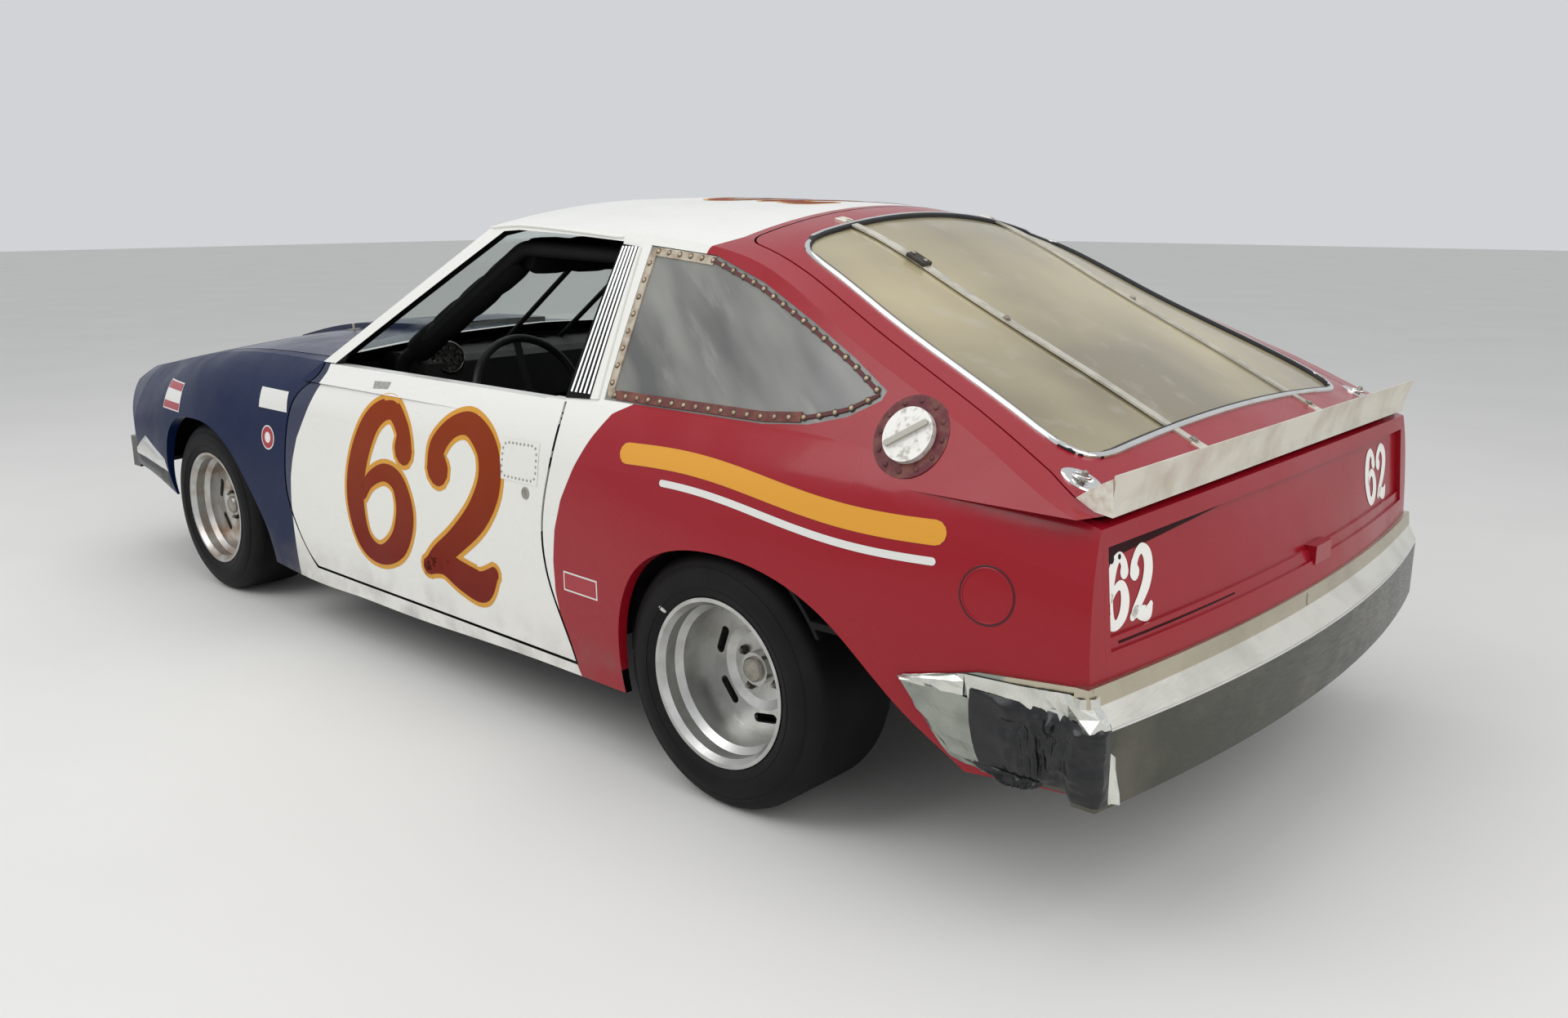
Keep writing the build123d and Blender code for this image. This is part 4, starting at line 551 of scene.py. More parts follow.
def linked(name, data):
    """A new object in the scene that holds some data."""
    made = bpy.data.objects.new(name, data)
    bpy.context.scene.collection.objects.link(made)
    return made


def new_mesh(name, corners, faces, finish=None):
    """A mesh with at most one finish."""
    mesh = bpy.data.meshes.new(name)
    mesh.from_pydata([tuple(c) for c in corners], [], faces)
    if finish:
        mesh.materials.append(finish)
    return mesh


def woven(count, width, ring=True, closed=False):
    """Faces between rows of places; ring joins each row's ends, closed the last row to the first."""
    faces = []
    for i in range(count if closed else count - 1):
        j = (i + 1) % count
        for k in range(width if ring else width - 1):
            m = (k + 1) % width
            faces.append([i * width + k, i * width + m, j * width + m, j * width + k])
    return faces


def mesh_object(name, corners, faces, finish, body, smooth=True):
    """A solid piece with one finish that rides on a body."""
    mesh = new_mesh(name, corners, faces, finish)
    tidy = bmesh.new()
    tidy.from_mesh(mesh)
    bmesh.ops.remove_doubles(tidy, verts=tidy.verts, dist=WELD * MM)
    bmesh.ops.recalc_face_normals(tidy, faces=tidy.faces)
    tidy.to_mesh(mesh)
    tidy.free()
    if smooth:
        mesh.shade_smooth()
        mesh.set_sharp_from_angle(angle=SHARP_ANGLE)
    return join_body(linked(name, mesh), finish, body)


def sheet_object(name, rows, finish, body, smooth=True):
    """A thin sheet over rows of equally many places."""
    corners = [corner for row in rows for corner in row]
    mesh = new_mesh(name, corners, woven(len(rows), len(rows[0]), ring=False), finish)
    if smooth:
        mesh.shade_smooth()
    return join_body(linked(name, mesh), finish, body)


def tube(name, rows, finish, body, closed=False, smooth=True):
    """A solid through rings of places, with flat ends unless the last ring meets the first."""
    count, width = len(rows), len(rows[0])
    faces = woven(count, width, closed=closed)
    if not closed:
        faces += [list(range(width)), [(count - 1) * width + k for k in range(width)]]
    return mesh_object(name, [corner for ring in rows for corner in ring], faces, finish, body, smooth)


def strip(name, spots, profile, finish, body, closed=False, lift=0.0):
    """Sweep a closed (across, up) profile in mm along spots on the skin."""
    rows = []
    count = len(spots)
    for i, (point, normal) in enumerate(spots):
        before = spots[i - 1][0] if closed or i > 0 else point
        after = spots[(i + 1) % count][0] if closed or i < count - 1 else point
        along = (after - before).normalized()
        across = along.cross(normal).normalized()
        up = across.cross(along).normalized()
        rows.append([point + across * (a * MM) + up * ((u + lift) * MM) for a, u in profile])
    return tube(name, rows, finish, body, closed)


def low_arch(width, height):
    """A rounded section that sits flat, as (across, up)."""
    turns = [math.pi * k / 6 for k in range(7)]
    crown = [(-width / 2 * math.cos(t), height * math.sin(t) ** 0.8) for t in turns]
    return crown + [(width / 2, -2), (-width / 2, -2)]


def flat_bar(width, height, sink=2):
    """A flat section with square corners, sunk a little into what it lies on."""
    half = width / 2
    edge = 0.6
    return [(-half, -sink), (-half, height - edge), (edge - half, height), (half - edge, height),
            (half, height - edge), (half, -sink)]


on_hatch = top_search(skin("hatch_frame", "hatch_glass"))

# %% [markdown]
# The hatch's pane sits in a black rubber gasket with a chrome moulding over its outer edge. Both
# follow the pane's outline, which is traced in plan and dropped onto the hatch from above.

# %% Hatch moulding and gasket
GLASS_OUTLINE = [(72, 506), (-735, 647), (-735, -647), (72, -506)]


def grown(outline, by):
    """An outline of corners moved outwards from its middle by a distance."""
    middle = Vector((sum(p[0] for p in outline) / len(outline), sum(p[1] for p in outline) / len(outline)))
    moved = []
    for p in outline:
        away = Vector(p) - middle
        moved.append((p[0] + math.copysign(by, away.x), p[1] + math.copysign(by, away.y)))
    return moved


moulding_spots = find(on_hatch, rounded(grown(GLASS_OUTLINE, 9), 110, 20))
strip("hatch_moulding", moulding_spots, low_arch(15, 8), chrome, "hatch", closed=True)
gasket_spots = find(on_hatch, rounded(grown(GLASS_OUTLINE, -6), 100, 20))
strip("hatch_gasket", gasket_spots, low_arch(17, 7), seal_rubber, "hatch", closed=True)
print("moulding spots:", len(moulding_spots))

# %% [markdown]
# The side windows are held by a flange strip with a rivet about every 40 mm. A Geometry Nodes tree
# puts one domed head on each point and turns it to face outwards, as its stored normal says.

# %% A tree that sets fasteners along a row


def fastener_tree(name, finish, segments):
    """Domed heads on points, each facing along the point's stored normal."""
    tree = bpy.data.node_groups.new(name, "GeometryNodeTree")
    tree.interface.new_socket("Points", in_out="INPUT", socket_type="NodeSocketGeometry")
    radius = tree.interface.new_socket("Radius", in_out="INPUT", socket_type="NodeSocketFloat")
    height = tree.interface.new_socket("Height", in_out="INPUT", socket_type="NodeSocketFloat")
    tree.interface.new_socket("Heads", in_out="OUTPUT", socket_type="NodeSocketGeometry")
    inputs = tree.nodes.new("NodeGroupInput")
    outputs = tree.nodes.new("NodeGroupOutput")
    dome = put(tree, "GeometryNodeMeshUVSphere", {"Segments": segments, "Rings": 5, "Radius": 1.0})
    wide, high = inputs.outputs[1], inputs.outputs[2]
    size = put(tree, "ShaderNodeCombineXYZ", {0: wide, 1: wide, 2: high})
    facing = put(tree, "GeometryNodeInputNamedAttribute", {"Name": "facing"}, data_type="FLOAT_VECTOR")
    turned = put(tree, "FunctionNodeAlignRotationToVector", {"Vector": facing.outputs[0]}, axis="Z")
    heads = put(tree, "GeometryNodeInstanceOnPoints", {
        "Points": inputs.outputs[0], "Instance": dome.outputs[0],
        "Rotation": turned.outputs[0], "Scale": size.outputs[0],
    })
    real = put(tree, "GeometryNodeRealizeInstances", {0: heads.outputs[0]})
    smooth = put(tree, "GeometryNodeSetShadeSmooth", {0: real.outputs[0]})
    finished = put(tree, "GeometryNodeSetMaterial", {0: smooth.outputs[0], "Material": finish})
    tree.links.new(finished.outputs[0], outputs.inputs[0])
    return tree, radius.identifier, height.identifier


def fasteners(name, spots, radius_mm, height_mm, finish, body, segments=10):
    """A row of domed heads on spots of the skin, as one plain mesh."""
    mesh = new_mesh(name + "_points", [point for point, _ in spots], [])
    facing = mesh.attributes.new("facing", "FLOAT_VECTOR", "POINT")
    facing.data.foreach_set("vector", [c for _, normal in spots for c in normal])
    carrier = linked(name + "_points", mesh)
    tree, radius, height = fastener_tree(name + "_tree", finish, segments)
    modifier = carrier.modifiers.new("heads", "NODES")
    modifier.node_group = tree
    modifier[radius] = radius_mm * MM
    modifier[height] = height_mm * MM
    bpy.context.view_layer.update()
    made = bpy.data.meshes.new_from_object(carrier.evaluated_get(bpy.context.evaluated_depsgraph_get()))
    carrier.modifiers.remove(modifier)
    bpy.data.objects.remove(carrier)
    return join_body(linked(name, made), finish, body)


# %% [markdown]
# The flange is drawn in three runs along the window's outline, because each has weathered in its
# own way. Every rivet has a painted shadow under its head, a thin dark ring.

# %% Side windows with their flange strips and rivets
WINDOW_EDGE = [(405, 862), (430, 1205), (205, 1187), (35, 1136), (-136, 1066), (-274, 1004),
               (-374, 950), (-366, 932), (-300, 897), (-207, 873), (-86, 862)]


def inset(outline, by):
    """A closed outline moved inwards by a distance, corner by corner."""
    moved = []
    count = len(outline)
    area = sum(outline[i - 1][0] * outline[i][1] - outline[i][0] * outline[i - 1][1] for i in range(count))
    turn = 1 if area > 0 else -1
    for i in range(count):
        here = Vector(outline[i])
        one = (here - Vector(outline[i - 1])).normalized()
        two = (Vector(outline[(i + 1) % count]) - here).normalized()
        inward_one = Vector((-one.y, one.x)) * turn
        inward_two = Vector((-two.y, two.x)) * turn
        bisector = (inward_one + inward_two).normalized()
        moved.append(tuple(here + bisector * by / max(0.4, bisector.dot(inward_one))))
    return moved


# Old primer, pale but blotched with brown.
flange_strip = plain("aged_flange_strip", "#b5ac9a", "#7d6149", 0.6, 2.0, 25, 0.8, 0.3)
# The foot of the flange has rusted to maroon, while its front keeps its pale primer.
flange_foot = plain("rusted_flange_foot", "#5c2422", "#7b4a38", 0.6, 2.0, 25, 0.8, 0.3)
# Along the slope the flange keeps the crimson of the quarter, dulled by grime.
grimy_crimson = plain("grimy_crimson_flange", "#56161b", "#4a3029", 0.6, 2.0, 18, 0.7, 0.2)
# A painted shadow round each head: a thin dark ring.
painted_rivet_shadow = plain("painted_rivet_shadow_ring", "#3b3029", "#57493c", 0.8, 2.0, 12, 0.6, 0.2)
# Columns: run, where it starts and ends as shares of the window's outline, width, finish
FLANGE_RUNS = [("front", 0.0, 0.28, 22, flange_strip), ("slope", 0.28, 0.70, 9, grimy_crimson),
               ("foot", 0.70, 1.0, 22, flange_foot)]
for side, word in SIDES:
    outline = rounded(inset(WINDOW_EDGE, 13), 14, 12)
    on_pane = side_search(skin("quarter_windows"), side)
    for run, first, last, width, finish in FLANGE_RUNS:
        part = outline[round(first * len(outline)):round(last * len(outline)) + 1]
        strip(f"window_{run}_flange_{word}", find(on_pane, part), flat_bar(width, 3.5), finish, "chassis")
    rivet_spots = find(on_pane, rounded(inset(WINDOW_EDGE, 12), 20, 38))
    # The rings are painted shadows, wider than the heads and laid just under them.
    rings = [(point + normal * 3.2 * MM, normal) for point, normal in rivet_spots]
    fasteners(f"window_rivet_rings_{word}", rings, 8.0, 1.0, painted_rivet_shadow, "chassis")
    heads = [(point + normal * 3.6 * MM, normal) for point, normal in rivet_spots]
    fasteners(f"window_rivets_{word}", heads, 5.6, 3.4, rusty_rivet, "chassis")
print("rivets on each side window:", len(rivet_spots))

# %% [markdown]
# The trim on the pillar between door and window is a bright stamping with raised ribs and black
# grooves between them. The ribs run up the front part of the plate; behind them it is painted white.

# %% Ribs of the pillar trim
RIB_COUNT = 5
# Front edge of the ribbed field, height, rear edge of the field
TRIM_FOOT = (524, 870, 446)
TRIM_HEAD = (526, 1200, 468)
trim_skin = skin("pillar_trims")


def trim_line(share, side):
    """Spots up the trim at a share of the ribbed field's width, kept to this side of the car."""
    foot = (TRIM_FOOT[0] + (TRIM_FOOT[2] - TRIM_FOOT[0]) * share, TRIM_FOOT[1])
    head = (TRIM_HEAD[0] + (TRIM_HEAD[2] - TRIM_HEAD[0]) * share, TRIM_HEAD[1])
    spots = find(side_search(trim_skin, side), rounded([foot, head], 1, 40, closed=False))
    spots = [spot for spot in spots if spot[0].y * side > NEAR_SIDE]
    facing = sum((normal for _, normal in spots), Vector()).normalized()
    points = [point for point, _ in spots]
    for _ in range(4):
        inner = [(a + b + c) / 3 for a, b, c in zip(points, points[1:], points[2:])]
        points = [points[0]] + inner + [points[-1]]
    return [(point, facing) for point in points]


# The plate is black ahead of a line that splits it from foot to head, and white behind that line.
field_edge = [(TRIM_FOOT[2], TRIM_FOOT[1]), (TRIM_HEAD[2], TRIM_HEAD[1])]
trim_base = enamel("white_pillar_with_black_field", WHITE, [(field_edge, "#0a0a0b")], coat=0.0, shine=0.1)
finish_node("pillar_trims", trim_base)
# Polished tops of the stamping: clean, so each is one unbroken line of light.
polished_rib = metal("polished_rib_top", "#e9e9e7", "#c9c8c4", 0.2, EVEN, 8, 60, 0.2, 0.0)
for side, word in SIDES:
    for k in range(RIB_COUNT):
        line = trim_line((k + 0.5) / RIB_COUNT, side)
        strip(f"trim_rib_{word}_{k}", line, low_arch(6, 4), polished_rib, "chassis", lift=0.6)

# %% [markdown]
# The numbers are plain ones in a sign painter's manner: a brush stroke that swells and thins along
# a smooth line. The band is cut into small cells and every corner is cast
# onto the skin, so it lies on the curved door. A wider ochre band below it gives the outline.

# %% Painted numbers
# Columns: across, up, width of the stroke
SIX = [(0.80, 0.74, 1.1), (0.76, 0.86, 0.8), (0.56, 0.965, 0.72), (0.32, 0.88, 0.95), (0.15, 0.62, 1.15),
       (0.12, 0.34, 1.2), (0.26, 0.10, 1.0), (0.52, 0.03, 0.75), (0.78, 0.14, 1.0), (0.87, 0.34, 1.1),
       (0.76, 0.52, 0.85), (0.55, 0.57, 0.65), (0.34, 0.50, 0.55), (0.24, 0.40, 0.45)]
TWO_BOW = [(0.20, 0.68, 1.25), (0.18, 0.80, 0.85), (0.34, 0.93, 0.72), (0.56, 0.965, 0.8),
           (0.80, 0.85, 1.15), (0.86, 0.66, 1.2), (0.74, 0.46, 1.1), (0.50, 0.28, 0.9),
           (0.26, 0.14, 0.8), (0.14, 0.06, 0.6)]
TWO_BASE = [(0.12, 0.06, 0.6), (0.32, 0.11, 0.9), (0.58, 0.06, 1.1), (0.82, 0.04, 1.1), (0.97, 0.14, 0.5)]
DIGITS = [(SIX,), (TWO_BOW, TWO_BASE)]
ADVANCE = 1.08
SLANT = 0.14
OUTLINE_WIDTH = 13
# How far out and how wide a stroke's round end is, as shares of half its width
ROUND_END = [(1.0, 0.12), (0.87, 0.5), (0.5, 0.87)]
# A brush-painted rust brown that fades to crimson at its foot, with an ochre edge and little gloss.
number_fill = enamel("rust_brown_number_paint", "#83300b", (), 0.5, 0.0, 0.12, ("#701a10", 300, 640))
number_line = enamel("ochre_number_outline", "#cf9434", (), 0.42, 0.1, 0.2)
white_number = enamel("white_number_paint", "#eceae4", gloss=0.45, coat=0.1)


def smooth_line(points, per_span=8):
    """A smooth line through a few points."""
    ends = [points[0]] + list(points) + [points[-1]]
    line = []
    for i in range(1, len(ends) - 2):
        a, b, c, d = (Vector(p) for p in ends[i - 1:i + 3])
        for k in range(per_span):
            t = k / per_span
            bend = (2 * a - 5 * b + 4 * c - d) * t**2 + (3 * b - a - 3 * c + d) * t**3
            line.append(0.5 * (2 * b + (c - a) * t + bend))
    line.append(Vector(points[-1]))
    return line


def stroke(name, line, width, cast_spot, finish, body, lift_mm, extra=0, columns=4):
    """A painted band with round ends on the skin; a place's third number swells the band there."""
    halves = [(width * p[2] + extra) / 2 for p in line]
    flat = [Vector(p[:2]) for p in line]
    out = (flat[0] - flat[1]).normalized() * halves[0]
    runs = [(flat[0] + out * far, halves[0] * wide) for far, wide in ROUND_END]
    runs += zip(flat, halves)
    out = (flat[-1] - flat[-2]).normalized() * halves[-1]
    runs += [(flat[-1] + out * far, halves[-1] * wide) for far, wide in reversed(ROUND_END)]
    rows = []
    for i, (middle, half) in enumerate(runs):
        along = (runs[min(i + 1, len(runs) - 1)][0] - runs[max(i - 1, 0)][0]).normalized()
        across = Vector((-along.y, along.x)) * half
        row = [cast_spot(middle + across * (2 * k / columns - 1)) for k in range(columns + 1)]
        if all(row):
            rows.append([point + normal * lift_mm * MM for point, normal in row])
    return sheet_object(name, rows, finish, body)


def paint_number(name, cast_spot, origin, size, right, stroke_width, body, fill, outline=None):
    """The number sixty-two: origin is its lower left corner, size a digit's, right the way it reads."""
    for d, strokes in enumerate(DIGITS):
        for k, points in enumerate(strokes):
            line = []
            for p in smooth_line(points):
                across = (d * ADVANCE + p.x) * size[0] + SLANT * (p.y - 0.5) * size[1]
                line.append((origin[0] + right * across, origin[1] + p.y * size[1], p.z))
            if outline:
                edge = f"{name}_edge_{d}{k}"
                stroke(edge, line, stroke_width, cast_spot, outline, body, 0.5, 2 * OUTLINE_WIDTH)
            stroke(f"{name}_fill_{d}{k}", line, stroke_width, cast_spot, fill, body, 1.0)


DOOR_NUMBER_START = {1: 1476, -1: 748}
for side, word in SIDES:
    on_door = side_search(skin(f"door_{word}"), side)
    start = (DOOR_NUMBER_START[side], 322)
    paint_number(f"door_number_{word}", on_door, start, (350, 450), -side, 78, f"door_{word}",
                 number_fill, number_line)


tail_spot = back_search(skin("tail_panel", "hatch_frame", "quarter_panel_left", "quarter_panel_right"))
paint_number("tail_number_left", tail_spot, (764, 588), (72, 124), -1, 25, "chassis", white_number)
paint_number("tail_number_right", tail_spot, (-500, 590), (80, 122), -1, 26, "chassis", white_number)

# The roof carries the same number, read from the left side.
roof_skin = skin("roof_panel")


def roof_spot(p):
    """Where a place given as (ahead, towards the right) lies on the roof."""
    return top_search(roof_skin)((p[0], -p[1]))


paint_number("roof_number", roof_spot, (735, -160), (216, 440), -1, 56, "chassis", number_fill, number_line)

# %% [markdown]
# Round hardware is turned, as on a lathe: a profile of (radius, height) pairs spins about the
# normal of the skin. With six segments the same function gives a hexagon head. Flat patches, such as
# stickers and plates, are small grids cast onto the skin.

# %% Turned hardware and flat patches


def turned(name, profile, spot, finish, body, segments=32, stretch=1.0, smooth=True):
    """Spin a (radius, height) profile in mm about a spot's normal; stretch draws it out lengthwise."""
    point, normal = spot
    normal = normal.normalized()
    ahead = Vector((1, 0, 0)) if abs(normal.x) < 0.9 else Vector((0, 1, 0))
    one = (ahead - normal * ahead.dot(normal)).normalized()
    two = normal.cross(one)
    rows = []
    for radius, height in profile:
        row = []
        for k in range(segments):
            angle = 2 * math.pi * k / segments
            offset = one * math.cos(angle) * radius * stretch + two * math.sin(angle) * radius
            row.append(point + offset * MM + normal * height * MM)
        rows.append(row)
    return tube(name, rows, finish, body, smooth=smooth)


HEX_HEAD = [(10, -2), (10, 5), (8.5, 7)]
WASHER = [(13, -2), (13, 1.2), (12, 1.8)]


def hex_bolt(name, spot, finish, body, scale=1.0):
    """A hexagon head on a washer."""
    washer = [(r * scale, h * scale) for r, h in WASHER]
    head = [(r * scale, h * scale) for r, h in HEX_HEAD]
    turned(name + "_washer", washer, spot, finish, body, 20)
    turned(name + "_head", head, spot, finish, body, 6, smooth=False)


def patch(name, cast_spot, corners, finish, body, lift_mm=0.5, cells=(12, 8), relief=None, smooth=True):
    """A thin sheet between four flat places, cast onto the skin; relief adds height by (u, v)."""
    low_left, low_right, high_right, high_left = (Vector(c) for c in corners)
    columns, count = cells
    rows = []
    for j in range(count + 1):
        row = []
        for i in range(columns + 1):
            u, v = i / columns, j / count
            spot = cast_spot(low_left.lerp(low_right, u).lerp(high_left.lerp(high_right, u), v))
            if spot is None:
                print("patch", name, "misses the skin")
                return None
            row.append(spot[0] + spot[1] * (lift_mm + (relief(u, v) if relief else 0)) * MM)
        rows.append(row)
    return sheet_object(name, rows, finish, body, smooth)


def ring_path(middle, radius, count):
    """Places round a circle, in two dimensions."""
    turns = [2 * math.pi * k / count for k in range(count)]
    return [(middle[0] + radius * math.cos(t), middle[1] + radius * math.sin(t)) for t in turns]


# %% [markdown]
# The fuel filler is one CAD piece, so one material tells its parts apart. A Mapping node moves the
# coordinates to the filler's middle and turns them to its tilt, and the distance from the axis
# picks white enamel for the cap and dull oxide red for the bolted ring.

# %% Fuel filler
FILLER_MIDDLE = place(-459, 770, 870)
FILLER_LEAN = math.radians(28)
FILLER_OUT = Vector((0, math.cos(FILLER_LEAN), math.sin(FILLER_LEAN)))
RING_FACE = 21.6
RING_BOLTS = 12
BOLT_CIRCLE = 70
material, tree, shader, coords = new_material("filler_cap_and_ring")
local = put(tree, "ShaderNodeMapping", {
    "Vector": coords, "Location": FILLER_MIDDLE, "Rotation": (FILLER_LEAN - math.pi / 2, 0, 0),
}, vector_type="TEXTURE").outputs[0]
apart = put(tree, "ShaderNodeSeparateXYZ", {0: local})
flat = put(tree, "ShaderNodeCombineXYZ", {0: apart.outputs[0], 1: apart.outputs[1]}).outputs[0]
from_axis = put(tree, "ShaderNodeVectorMath", {0: flat}, operation="LENGTH").outputs["Value"]
on_cap = put(tree, "ShaderNodeMapRange", {0: from_axis, 1: 0.0538, 2: 0.0544, 3: 1.0, 4: 0.0}).outputs[0]
scuffs = patches(tree, coords, 14, 0.52, 0.7, detail=5.0)
on_grip = put(tree, "ShaderNodeMapRange", {0: apart.outputs[2], 1: 0.0352, 2: 0.0362}).outputs[0]
cap_colour = layered(tree, "#e2e0da", [(scuffs, "#a9a49a"), (on_grip, "#a39f93")])
rust = patches(tree, coords, 22, 0.45, 0.62, detail=6.0)
filler_colour = layered(tree, "#5a1420", [(rust, "#6e3a30"), (on_cap, cap_colour)])
filler_rough = put(tree, "ShaderNodeMapRange", {0: on_cap, 3: 0.6, 4: 0.3}).outputs[0]
feed(tree, shader, {"Base Color": filler_colour, "Roughness": filler_rough})
finish_node("fuel_filler", material)
bolt_spots = []
for k in range(RING_BOLTS):
    turn = 2 * math.pi * k / RING_BOLTS
    down = Vector((0, math.sin(FILLER_LEAN), -math.cos(FILLER_LEAN)))
    away = Vector((1, 0, 0)) * math.cos(turn) + down * math.sin(turn)
    bolt_spots.append((FILLER_MIDDLE + away * BOLT_CIRCLE * MM + FILLER_OUT * RING_FACE * MM, FILLER_OUT))
# The bolts were painted with the ring and have chipped to rust.
ring_bolt = plain("oxide_red_bolt", "#4d1a1e", "#7a4a3a", 0.55, 2.0, 25, 0.8, 0.3)
fasteners("filler_ring_bolts", bolt_spots, 5.5, 3.0, ring_bolt, "chassis", 8)

# %% [markdown]
# A round plug closes a hole low on each rear quarter. Only its groove shows, so a thin dark bead
# follows a circle on the skin. At the hatch's rear corners plated plates hold a pin with its clip.

# %% Plugs, latch plates and pins
PLUG_MIDDLE = (-673, 630)
LATCH_PLATE = [(31, -1), (31, 2), (28, 4.5), (14, 4.0), (12, 2.5)]
LATCH_PIN = [(6, 0), (6, 17), (4.5, 21), (2, 22)]
# The groove holds shade, so its crimson is nearly black.
groove_red = enamel("groove_shadow_crimson", "#3f0c16", gloss=0.5)
for side, word in SIDES:
    on_quarter = side_search(skin(f"quarter_panel_{word}"), side)
    groove = find(on_quarter, ring_path(PLUG_MIDDLE, 53, 48))
    strip(f"quarter_plug_groove_{word}", groove, low_arch(3.5, 0.9), groove_red, "chassis", closed=True)
    bead = find(on_quarter, ring_path(PLUG_MIDDLE, 49, 48))
    strip(f"quarter_plug_edge_{word}", bead, low_arch(4, 1.6), crimson_paint, "chassis", closed=True)
    plate_spot = on_hatch((-766, side * 702))
    turned(f"latch_plate_{word}", LATCH_PLATE, plate_spot, chrome, "hatch", 40, stretch=1.35)
    turned(f"latch_pin_{word}", LATCH_PIN, plate_spot, zinc_steel, "hatch", 16)
    middle, normal = plate_spot
    clip = []
    for k in range(20):
        t = 2 * math.pi * k / 20
        bend = Vector((math.cos(t) * 17, math.sin(t) * 10, 9 + 3 * math.cos(t)))
        clip.append((middle + bend * MM, normal))
    strip(f"latch_clip_{word}", clip, low_arch(3, 3), chrome, "hatch", closed=True)

# %% [markdown]
# Bright straps hold the hatch's pane down. Each ends in a tab with a bolt, and the left one has a
# clamp where two lengths join.

# %% Strap hardware
STRAP_LEFT = 304
STRAP_FOOT_LEFT = 309
on_strap = top_search(skin("hatch_straps"))
for side, word, bolts in ((1, "left", (88, -353, -790)), (-1, "right", (88, -333, -786))):
    for k, ahead in enumerate(bolts):
        left = side * (STRAP_LEFT + (90 - ahead) / 890 * (STRAP_FOOT_LEFT - STRAP_LEFT))
        spot = on_strap((ahead, left))
        if spot:
            hex_bolt(f"strap_bolt_{word}_{k}", spot, zinc_steel, "hatch", 0.75)
    foot_spots = find(on_hatch, [(a, side * STRAP_FOOT_LEFT) for a in (-790, -800, -812, -824)])
    strip(f"strap_foot_{word}", foot_spots, flat_bar(30, 4), spoiler_sheet, "hatch")
    top_spots = find(on_hatch, [(a, side * STRAP_LEFT) for a in (118, 108, 98, 88)])
    strip(f"strap_head_{word}", top_spots, flat_bar(30, 9), spoiler_sheet, "hatch")
clamp = find(on_strap, [(a, 304.8) for a in (-92, -104, -116, -128, -140)])
strip("strap_clamp", clamp, flat_bar(30, 7), dark_steel, "hatch")
CLAMP_SCREW = [(5, 5), (5, 10), (3.5, 11.5)]
for a in (-100, -132):
    turned(f"strap_clamp_screw_{-a}", CLAMP_SCREW, on_strap((a, 305)), zinc_steel, "hatch", 12)

# %% [markdown]
# The door handles are gone. A plate covers each hole, held by a ring of small painted rivets, with
# the lock barrel below it. Higher up, a patch of paint is rubbed to grey.

# %% Door handle plate and lock
# Primer rubbed bare: pale, dry and without a highlight.
scuffed_grey = plain("rubbed_primer_grey", "#8d8b84", "#b9b6ae", 0.7, 1.0, 6, 0.6, 0.4)
PLATE = [(588, 641), (745, 640), (733, 742), (582, 746)]
PLATE_RIVETS = [(597, 650), (736, 649), (725, 733), (591, 737)]
RUBBED = [(1288, 806), (1362, 801), (1366, 821), (1282, 825)]
DOOR_LOCK = [(15, -1), (15, 1.5), (12, 3), (7, 3), (6, 1.5)]
for side, word in SIDES:
    door = f"door_{word}"
    on_door = side_search(skin(door), side)
    patch(f"handle_plate_{word}", on_door, PLATE, white_paint, door, 0.9, (10, 6))
    rivets = [(p + n * 0.9 * MM, n) for p, n in find(on_door, rounded(PLATE_RIVETS, 22, 15))]
    fasteners(f"handle_rivets_{word}", rivets, 3.6, 1.8, scuffed_grey, door, 8)
    turned(f"door_lock_{word}", DOOR_LOCK, on_door((635, 618)), zinc_steel, door, 28)
    patch(f"rubbed_paint_{word}", on_door, RUBBED, scuffed_grey, door, 0.35, (6, 3))

# %% [markdown]
# Blank vinyl stickers sit on the fenders and behind the doors, and two plain stripes, one ochre and
# one white, run along each rear quarter. They are thin sheets laid on the curved panels.

# %% Blank stickers and plain stripes
# Vinyl film, flatter than the enamel round it, so its edges show. The stripe is brushed paint.
sticker_white = enamel("blank_white_vinyl", "#dddcd7", gloss=0.35)
sticker_red = enamel("blank_red_vinyl", "#9d2230", gloss=0.35)
ochre_stripe = enamel("ochre_stripe_paint", "#d9982c", gloss=0.35)


def box_corners(x_high, z_high, x_low, z_low, margin=0.0):
    """Four corners of an upright box on the side, from its front top and rear bottom, less a margin."""
    return [(x_low + margin, z_low + margin), (x_high - margin, z_low + margin),
            (x_high - margin, z_high - margin), (x_low + margin, z_high - margin)]


REAR_BOX = (490, 453, 362, 405)
# Columns: name, box, margin, finish, height above the paint
FENDER_STICKERS = [
    ("front", (2752, 704, 2590, 607), 0, sticker_white, 0.5),
    ("front_top", (2748, 700, 2594, 676), 0, sticker_red, 0.9),
    ("front_foot", (2748, 635, 2594, 611), 0, sticker_red, 0.9),
    ("frame_panel", (2006, 748, 1830, 686), 0, sticker_white, 1.1),
]
QUARTER_STICKERS = [("rear", REAR_BOX, 0, sticker_white, 0.5), ("rear_panel", REAR_BOX, 4, sticker_red, 0.9)]
